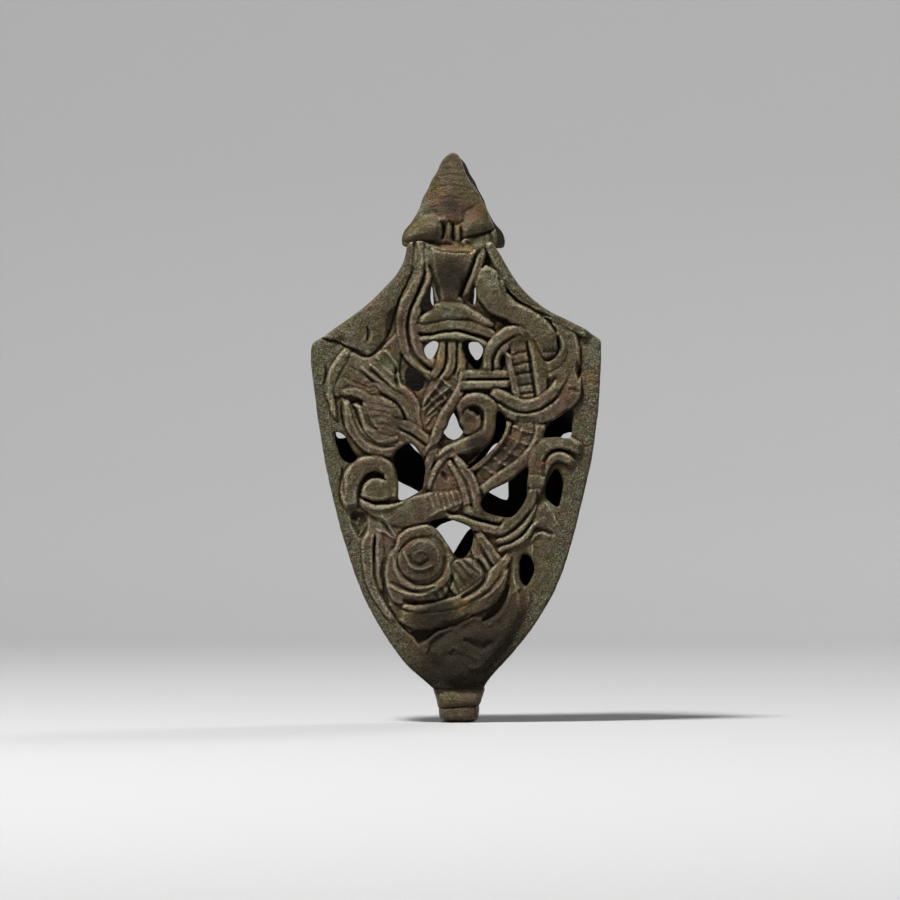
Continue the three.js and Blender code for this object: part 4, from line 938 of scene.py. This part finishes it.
def side_wall(name, side, left, material):
    """A closed wall along one side: its section stands across the depth, with an outer side crowned by a
    squared cosine and uneven but for its two edges, and a flat inner one, and follows the side's line
    up from the knob."""
    line = smooth_line(to_mm(side), step=WALL_STEP)[::-1]
    inward = to_left(line) * (-1 if left else 1)
    turn = np.linspace(-1, 1, WALL_OUTER_POINTS)
    outer = np.stack([-WALL_BULGE * np.cos(turn * math.pi / 2) ** 2, turn * FACE_PLANE], axis=1)
    back = np.linspace(1, -1, WALL_INNER_POINTS)
    inner = np.stack([np.full(WALL_INNER_POINTS, WALL_THICKNESS), back * FACE_PLANE], axis=1)
    section = np.vstack([outer, inner])
    depth, along = np.meshgrid(section[:, 1], np.arange(len(line)) * WALL_STEP)
    worn = sum(rise / 2 * (1 + cloudy(along, depth, size, seed)) for rise, size, seed in GRAINS)
    worn[:, len(turn):] = 0
    worn[:, :len(turn)] *= 1 - turn ** 6
    rings = line[:, None, :] + inward[:, None, :] * (section[:, 0] + WALL_BULGE + worn)[..., None]
    points = np.concatenate([rings, depth[..., None]], axis=2).reshape(-1, 3)
    count, steps = len(section), len(line)
    base = np.arange(steps - 1)[:, None] * count
    this, after = np.arange(count), np.roll(np.arange(count), -1)
    quads = np.stack([base + this, base + after, base + count + after, base + count + this], axis=2)
    quads = quads.reshape(-1, 4)
    ends = [np.arange(count)[::-1].tolist(), (np.arange(count) + count * (steps - 1)).tolist()]
    if left:
        quads, ends = quads[:, ::-1], [end[::-1] for end in ends]
    wall = new_object(name, standing(points), quads.tolist() + ends, material)
    set_attribute(wall, "rim", np.full(len(points), WALL_RIM))
    return wall


def knob_piece(name, material):
    """The knob: at each height a rounded rectangle, a superellipse with the power 4, with the profile's
    half width and half depth, and the crease between its two bands slants up to the right."""
    profile = smooth_line(np.array(KNOB_PROFILE, float), step=KNOB_STEP)
    sides = KNOB_SIDES
    angle = np.arange(sides) * 2 * math.pi / sides
    across, outwards = [np.sign(turn) * np.sqrt(np.abs(turn)) for turn in (np.cos(angle), np.sin(angle))]
    middle = (KNOB_COLUMN - AXIS_COLUMN) * PIXEL
    width, row, thickness = profile[1:-1, :, None].transpose(1, 0, 2)
    tilt = -KNOB_TILT * np.exp(-((row - KNOB_CREASE_ROW) / KNOB_TILT_REACH) ** 2) * across
    up = np.maximum(END_ROW - row - tilt, 0) * PIXEL
    points = np.stack([width * PIXEL * across + middle, -thickness * outwards, up], axis=2).reshape(-1, 3)
    poles = [[middle, 0, (END_ROW - profile[end, 1]) * PIXEL] for end in (0, -1)]
    points = np.vstack([points, poles]) * MILLIMETRE
    rings = len(profile) - 2
    base = np.arange(rings - 1)[:, None] * sides
    this, after = np.arange(sides), (np.arange(sides) + 1) % sides
    quads = np.stack([base + after, base + this, base + sides + this, base + sides + after], axis=2)
    last = (rings - 1) * sides
    pole = np.full(sides, rings * sides)
    fans = np.vstack([np.stack([pole, this, after], axis=1),
                      np.stack([pole + 1, last + after, last + this], axis=1)])
    return new_object(name, points, quads.reshape(-1, 4).tolist() + fans.tolist(), material)


def shader(tree, kind, inputs=None, **settings):
    """A shader node with its settings, and its inputs linked or set."""
    made = tree.nodes.new("ShaderNode" + kind)
    for key, value in settings.items():
        setattr(made, key, value)
    for key, value in (inputs or {}).items():
        if isinstance(value, bpy.types.NodeSocket):
            tree.links.new(value, made.inputs[key])
        else:
            made.inputs[key].default_value = value
    return made


def calculated(tree, operation, one, two):
    """A sum, a product or the like of two values."""
    return shader(tree, "Math", {0: one, 1: two}, operation=operation).outputs[0]


def stretched(tree, value, low, high, to_low=0.0, to_high=1.0):
    """A value between low and high, spread smoothly over to_low and to_high."""
    made = shader(tree, "MapRange", {"Value": value, "From Min": low, "From Max": high, "To Min": to_low,
                                     "To Max": to_high}, interpolation_type="SMOOTHSTEP")
    return made.outputs["Result"]


def mottle(tree, place, size, detail, roughness):
    """Cloudy noise whose clouds are about size millimetres wide."""
    made = shader(tree, "TexNoise", {"Vector": place, "Scale": 1 / (size * MILLIMETRE), "Detail": detail,
                                     "Roughness": roughness})
    return made.outputs["Fac"]


def blended(tree, share, one, two):
    """Two colours mixed by the share of the second."""
    return shader(tree, "Mix", {0: share, 6: one, 7: two}, data_type="RGBA").outputs[2]


def colour(red, green, blue):
    """An opaque colour for a shader's socket."""
    return (red, green, blue, 1.0)


# The patina's colours, and those of the painted highlights and the painted shade.
OLIVE_METAL, BROWN_METAL = colour(0.068, 0.054, 0.018), colour(0.086, 0.051, 0.033)
TAWNY_METAL, SANDY_METAL = colour(0.13, 0.086, 0.048), colour(0.13, 0.122, 0.052)
DARK_VERDIGRIS, PALE_VERDIGRIS = colour(0.055, 0.053, 0.027), colour(0.165, 0.157, 0.098)
PALE_CRUST, OCHRE_EARTH = colour(0.23, 0.235, 0.16), colour(0.21, 0.13, 0.033)
RED_SPOT, PAINTED_CREVICE_SHADE = colour(0.18, 0.06, 0.032), colour(0.026, 0.016, 0.005)
WORN_OLIVE_HIGHLIGHT, WORN_BROWN_HIGHLIGHT = colour(0.41, 0.39, 0.255), colour(0.47, 0.38, 0.27)
SHADE_AND_DARK_PATINA = colour(0.023, 0.016, 0.009)
# How much of the paler crest colour (partly rubbed wear, partly painted highlight), the crusted, the earthy
# and the red colour a place can take at most.
WEAR_AND_HIGHLIGHT_SHARE, CRUST_SHARE, EARTH_SHARE, SPOT_SHARE = 0.7, 0.75, 0.75, 0.75
METALLIC, SPECULAR_LEVEL = 0.4, 0.3
# The clouds in the patina: their size in millimetres, their detail and their roughness.
CLOUDS = {
    "broad": (7.0, 4.0, 0.6), "bare": (5.0, 3.0, 0.6), "earth": (2.2, 3.0, 0.6), "fine": (1.3, 6.0, 0.7),
    "spots": (1.1, 2.0, 0.6), "grain": (0.32, 3.0, 0.7), "speck": (0.17, 1.0, 0.5)}
# The bumps from the finest to the coarsest: their clouds, their strength, and their height in metres.
BUMPS = [("speck", 0.7, 0.00014), ("grain", 0.9, 0.00028), ("fine", 0.6, 0.0004)]


def patinated_bronze(name):
    """Old cast bronze: olive-brown metal, grey-green verdigris in the hollows and on the rims, pale
    crust, ochre earth and red spots in their places, paler crests that are partly rubbed wear and partly
    a painted highlight, painted shade in the crevices, dark patches that are partly darker patina and
    partly painted shade, painted shade on the inner side, and a fine grain. Each layer's share is one or
    two noises or attributes, stretched and multiplied."""
    material = bpy.data.materials.new(name)
    material.use_nodes = True
    tree = material.node_tree
    tree.nodes.clear()
    place = shader(tree, "TexCoord").outputs["Object"]
    hollow, crest, inner, rim, dark_patina_and_shade, ochre, reddened, pale = [
        shader(tree, "Attribute", attribute_name=layer).outputs["Fac"]
        for layer in ("hollow", "crest", "inner", "rim", "dark_patina_and_shade", "ochre", "reddened", "pale")]
    clouds = {kind: mottle(tree, place, *sizes) for kind, sizes in CLOUDS.items()}
    fine, grain = clouds["fine"], clouds["grain"]

    def times(one, two):
        return calculated(tree, "MULTIPLY", one, two)

    def plus(one, two):
        return calculated(tree, "ADD", one, two)

    def over(skin, share, layer):
        return blended(tree, share, skin, layer)

    def spread(value, *ends):
        return stretched(tree, value, *ends)

    skin = over(OLIVE_METAL, spread(clouds["broad"], 0.45, 0.55), BROWN_METAL)
    skin = over(skin, spread(fine, 0.42, 0.68), TAWNY_METAL)
    skin = over(skin, spread(grain, 0.45, 0.7, 0.0, 0.45), SANDY_METAL)
    verdigris = over(DARK_VERDIGRIS, spread(grain, 0.38, 0.62), PALE_VERDIGRIS)
    green = plus(plus(times(fine, 1.7), times(spread(hollow, -0.25, 0.5), 0.35)), times(rim, 0.3))
    skin = over(skin, spread(green, 0.9, 1.45), verdigris)
    crust = times(pale, spread(plus(fine, times(grain, 0.4)), 0.5, 0.85))
    skin = over(skin, times(crust, CRUST_SHARE), PALE_CRUST)
    earth = times(spread(hollow, 0.05, 0.4), spread(clouds["earth"], 0.42, 0.6))
    earth = calculated(tree, "MAXIMUM", earth, times(ochre, spread(fine, 0.35, 0.6)))
    skin = over(skin, times(earth, EARTH_SHARE), OCHRE_EARTH)
    spots = times(spread(clouds["spots"], 0.58, 0.7), spread(hollow, -0.1, 0.35))
    spots = calculated(tree, "MAXIMUM", spots, times(reddened, spread(fine, 0.4, 0.62)))
    skin = over(skin, times(spots, SPOT_SHARE), RED_SPOT)
    # Paler crests: partly rubbed wear on the bronze, partly a painted highlight.
    wear_and_highlight = times(spread(crest, 0.01, 0.13), spread(grain, 0.3, 0.62, 0.2, 1.0))
    bare = over(WORN_OLIVE_HIGHLIGHT, spread(clouds["bare"], 0.44, 0.56), WORN_BROWN_HIGHLIGHT)
    skin = over(skin, times(wear_and_highlight, WEAR_AND_HIGHLIGHT_SHARE), bare)
    # Painted shade in the crevices: the deeper a hollow, the more of this near-black colour it takes.
    skin = over(skin, spread(hollow, 0.08, 0.6, 0.0, 0.93), PAINTED_CREVICE_SHADE)
    # Dark patches: partly darker patina, partly painted shade under the curl and towards the tip.
    skin = over(skin, spread(dark_patina_and_shade, 0.0, 1.5, 0.0, 0.9), SHADE_AND_DARK_PATINA)
    salt = times(spread(clouds["speck"], 0.32, 0.68, -0.6, 0.6), plus(times(rim, 0.45), 0.62))
    shade = times(spread(inner, 0.0, 1.0, 1.0, 0.07), plus(salt, 1.0))
    grey = shader(tree, "CombineColor", {0: shade, 1: shade, 2: shade}).outputs[0]
    skin = shader(tree, "Mix", {0: 1.0, 6: skin, 7: grey}, data_type="RGBA", blend_type="MULTIPLY")

    rough = plus(spread(fine, 0.3, 0.7, 0.27, 0.43), times(rim, 0.14))
    rough = plus(rough, plus(spread(dark_patina_and_shade, 0.0, 1.2, 0.0, 0.3), times(inner, 0.3)))
    surface = shader(tree, "BsdfPrincipled", {
        "Base Color": skin.outputs[2], "Metallic": METALLIC, "Roughness": rough,
        "Specular IOR Level": SPECULAR_LEVEL})
    under = {}
    for kind, strength, height in BUMPS:
        bump = shader(tree, "Bump", {
            "Height": clouds[kind], "Strength": strength, "Distance": height, **under})
        under = {"Normal": bump.outputs[0]}
    tree.links.new(under["Normal"], surface.inputs["Normal"])
    shader(tree, "OutputMaterial", {"Surface": surface.outputs[0]})
    return material


bronze, worn_bronze = [patinated_bronze(name) for name in ("patinated_bronze", "worn_bronze")]
nodes = sorted(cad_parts)
front = face_relief(LEFT_SIDE, RIGHT_SIDE, LEFT_MOUTH, RIGHT_MOUTH)
rear = face_relief(*[across_head(line) for line in (RIGHT_SIDE, LEFT_SIDE, RIGHT_MOUTH, LEFT_MOUTH)])
head = Relief(smooth_line(to_mm(HEAD_OUTLINE), closed=True)[:-1], HEAD_GROUND, HEAD_RELIEF)
for side, relief in (("front", front), ("back", rear)):
    tracery = relief_piece(side + "_tracery", relief, FACE_PLANE, side == "back", bronze)
    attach(tracery, "root")
    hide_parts(*[node for node in nodes if node.startswith(side + "_") and node != side + "_head"])
    mask = relief_piece(side + "_animal_head", head, HEAD_PLANE, side == "back", bronze)
    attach(mask, "root")
    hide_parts(side + "_head")
for side, line in (("left", LEFT_SIDE), ("right", RIGHT_SIDE)):
    wall = side_wall(side + "_wall", line, side == "left", worn_bronze)
    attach(wall, "root")
    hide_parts(side + "_side_wall")
knob = knob_piece("knob", worn_bronze)
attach(knob, "root")
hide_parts("knob_collar", "knob_end")
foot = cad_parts["foot"]
foot.data.materials.clear()
foot.data.materials.append(worn_bronze)

# The floor and backdrop: one sheet, level round the chape and steeper further out. In metres.
SHEET_COLUMNS, SHEET_ROWS = np.linspace(-1.75, 1.75, 57), np.linspace(-1.5, 1.0, 41)
LEVEL_SIDEWAYS, LEVEL_BACKWARDS, STEEPNESS = 1.3, 0.5, 16
SEEN_GREY, LIT_GREY = colour(0.48, 0.48, 0.48), colour(0.12, 0.12, 0.12)
FLOOR_ROUGHNESS = 0.9
# The faint glow at the sides: its strength, and the ways out between which it rises.
SIDE_GLOW, GLOW_FROM, GLOW_TO = 0.3, 0.3, 1.2
# The lights: name, place and size in metres, and power in watts. They aim at the chape's middle.
LIGHTS = [("key_light", (-0.28, -0.34, 0.8), 0.16, 12.8), ("fill_light", (0.5, -0.9, 0.4), 0.6, 0.45),
          ("back_light", (0.5, 0.8, 0.6), 0.4, 6.0)]
SKY_STRENGTH = 0.06
VIEW_DISTANCE = 1.2
SENSOR_WIDTH = 36.0
FRAME_PIXELS = 900


def pale_studio_floor():
    """A pale matt floor that throws only a little of its light back onto the chape: camera, glossy and
    transmission rays meet its pale colour, and diffuse rays a darker one. Far out to the sides, where
    the lights hardly reach, the same three rays also meet a faint glow."""
    material = bpy.data.materials.new("pale_floor")
    material.use_nodes = True
    tree = material.node_tree
    surface = tree.nodes["Principled BSDF"]
    surface.inputs["Roughness"].default_value = FLOOR_ROUGHNESS
    rays = shader(tree, "LightPath").outputs
    seen = calculated(tree, "MAXIMUM", rays["Is Camera Ray"], rays["Is Glossy Ray"])
    seen = calculated(tree, "MAXIMUM", seen, rays["Is Transmission Ray"])
    tree.links.new(blended(tree, seen, LIT_GREY, SEEN_GREY), surface.inputs["Base Color"])
    place = shader(tree, "SeparateXYZ", {"Vector": shader(tree, "TexCoord").outputs["Object"]}).outputs
    sideways = shader(tree, "Math", {0: place["X"]}, operation="ABSOLUTE").outputs[0]
    glow = calculated(tree, "MULTIPLY", seen, stretched(tree, sideways, GLOW_FROM, GLOW_TO, 0.0, SIDE_GLOW))
    tree.links.new(glow, surface.inputs["Emission Strength"])
    return material


def floor_and_backdrop():
    """One sheet: level round the chape, and rising with the cube of the way beyond that level part, at
    the back, the left and the right."""
    x, y = np.meshgrid(SHEET_COLUMNS, SHEET_ROWS)
    beyond = np.hypot(np.maximum(np.abs(x) - LEVEL_SIDEWAYS, 0), np.maximum(y - LEVEL_BACKWARDS, 0))
    points = np.stack([x, y, STEEPNESS * beyond ** 3], axis=2).reshape(-1, 3)
    rows, wide = x.shape
    corner = (np.arange(rows - 1)[:, None] * wide + np.arange(wide - 1)).ravel()
    faces = np.stack([corner, corner + 1, corner + wide + 1, corner + wide], axis=1)
    sheet = new_object("floor", points, faces.tolist(), pale_studio_floor())


def soft_light(name, place, size, power):
    """A square area light that aims at the middle of the chape."""
    lamp = bpy.data.lights.new(name, "AREA")
    lamp.size, lamp.energy = size, power
    light = bpy.data.objects.new(name, lamp)
    light.location = place
    aim = np.array([0, 0, CHAPE_HEIGHT / 2 * MILLIMETRE]) - np.array(place)
    light.rotation_mode = "QUATERNION"
    light.rotation_quaternion = mathutils.Vector(aim).to_track_quat("-Z", "Y")
    bpy.context.scene.collection.objects.link(light)


floor_and_backdrop()
for light in LIGHTS:
    soft_light(*light)
world = bpy.data.worlds.new("studio")
world.use_nodes = True
world.node_tree.nodes["Background"].inputs["Color"].default_value = colour(1, 1, 1)
world.node_tree.nodes["Background"].inputs["Strength"].default_value = SKY_STRENGTH
bpy.context.scene.world = world

# The camera looks level along the depth, and a pixel at the chape is a pixel of the photograph.
camera_data = bpy.data.cameras.new("camera")
camera = bpy.data.objects.new("camera", camera_data)
bpy.context.scene.collection.objects.link(camera)
bpy.context.scene.camera = camera
camera_data.sensor_width = SENSOR_WIDTH
camera_data.lens = SENSOR_WIDTH * VIEW_DISTANCE / (FRAME_PIXELS * PIXEL * MILLIMETRE)
middle = FRAME_PIXELS / 2
camera.location = ((middle - AXIS_COLUMN) * PIXEL * MILLIMETRE, -VIEW_DISTANCE,
                   (END_ROW - middle) * PIXEL * MILLIMETRE)
camera.rotation_euler = (math.pi / 2, 0, 0)
camera_data.clip_start, camera_data.clip_end = 0.05, 10
bpy.context.scene.view_settings.view_transform = "Standard"
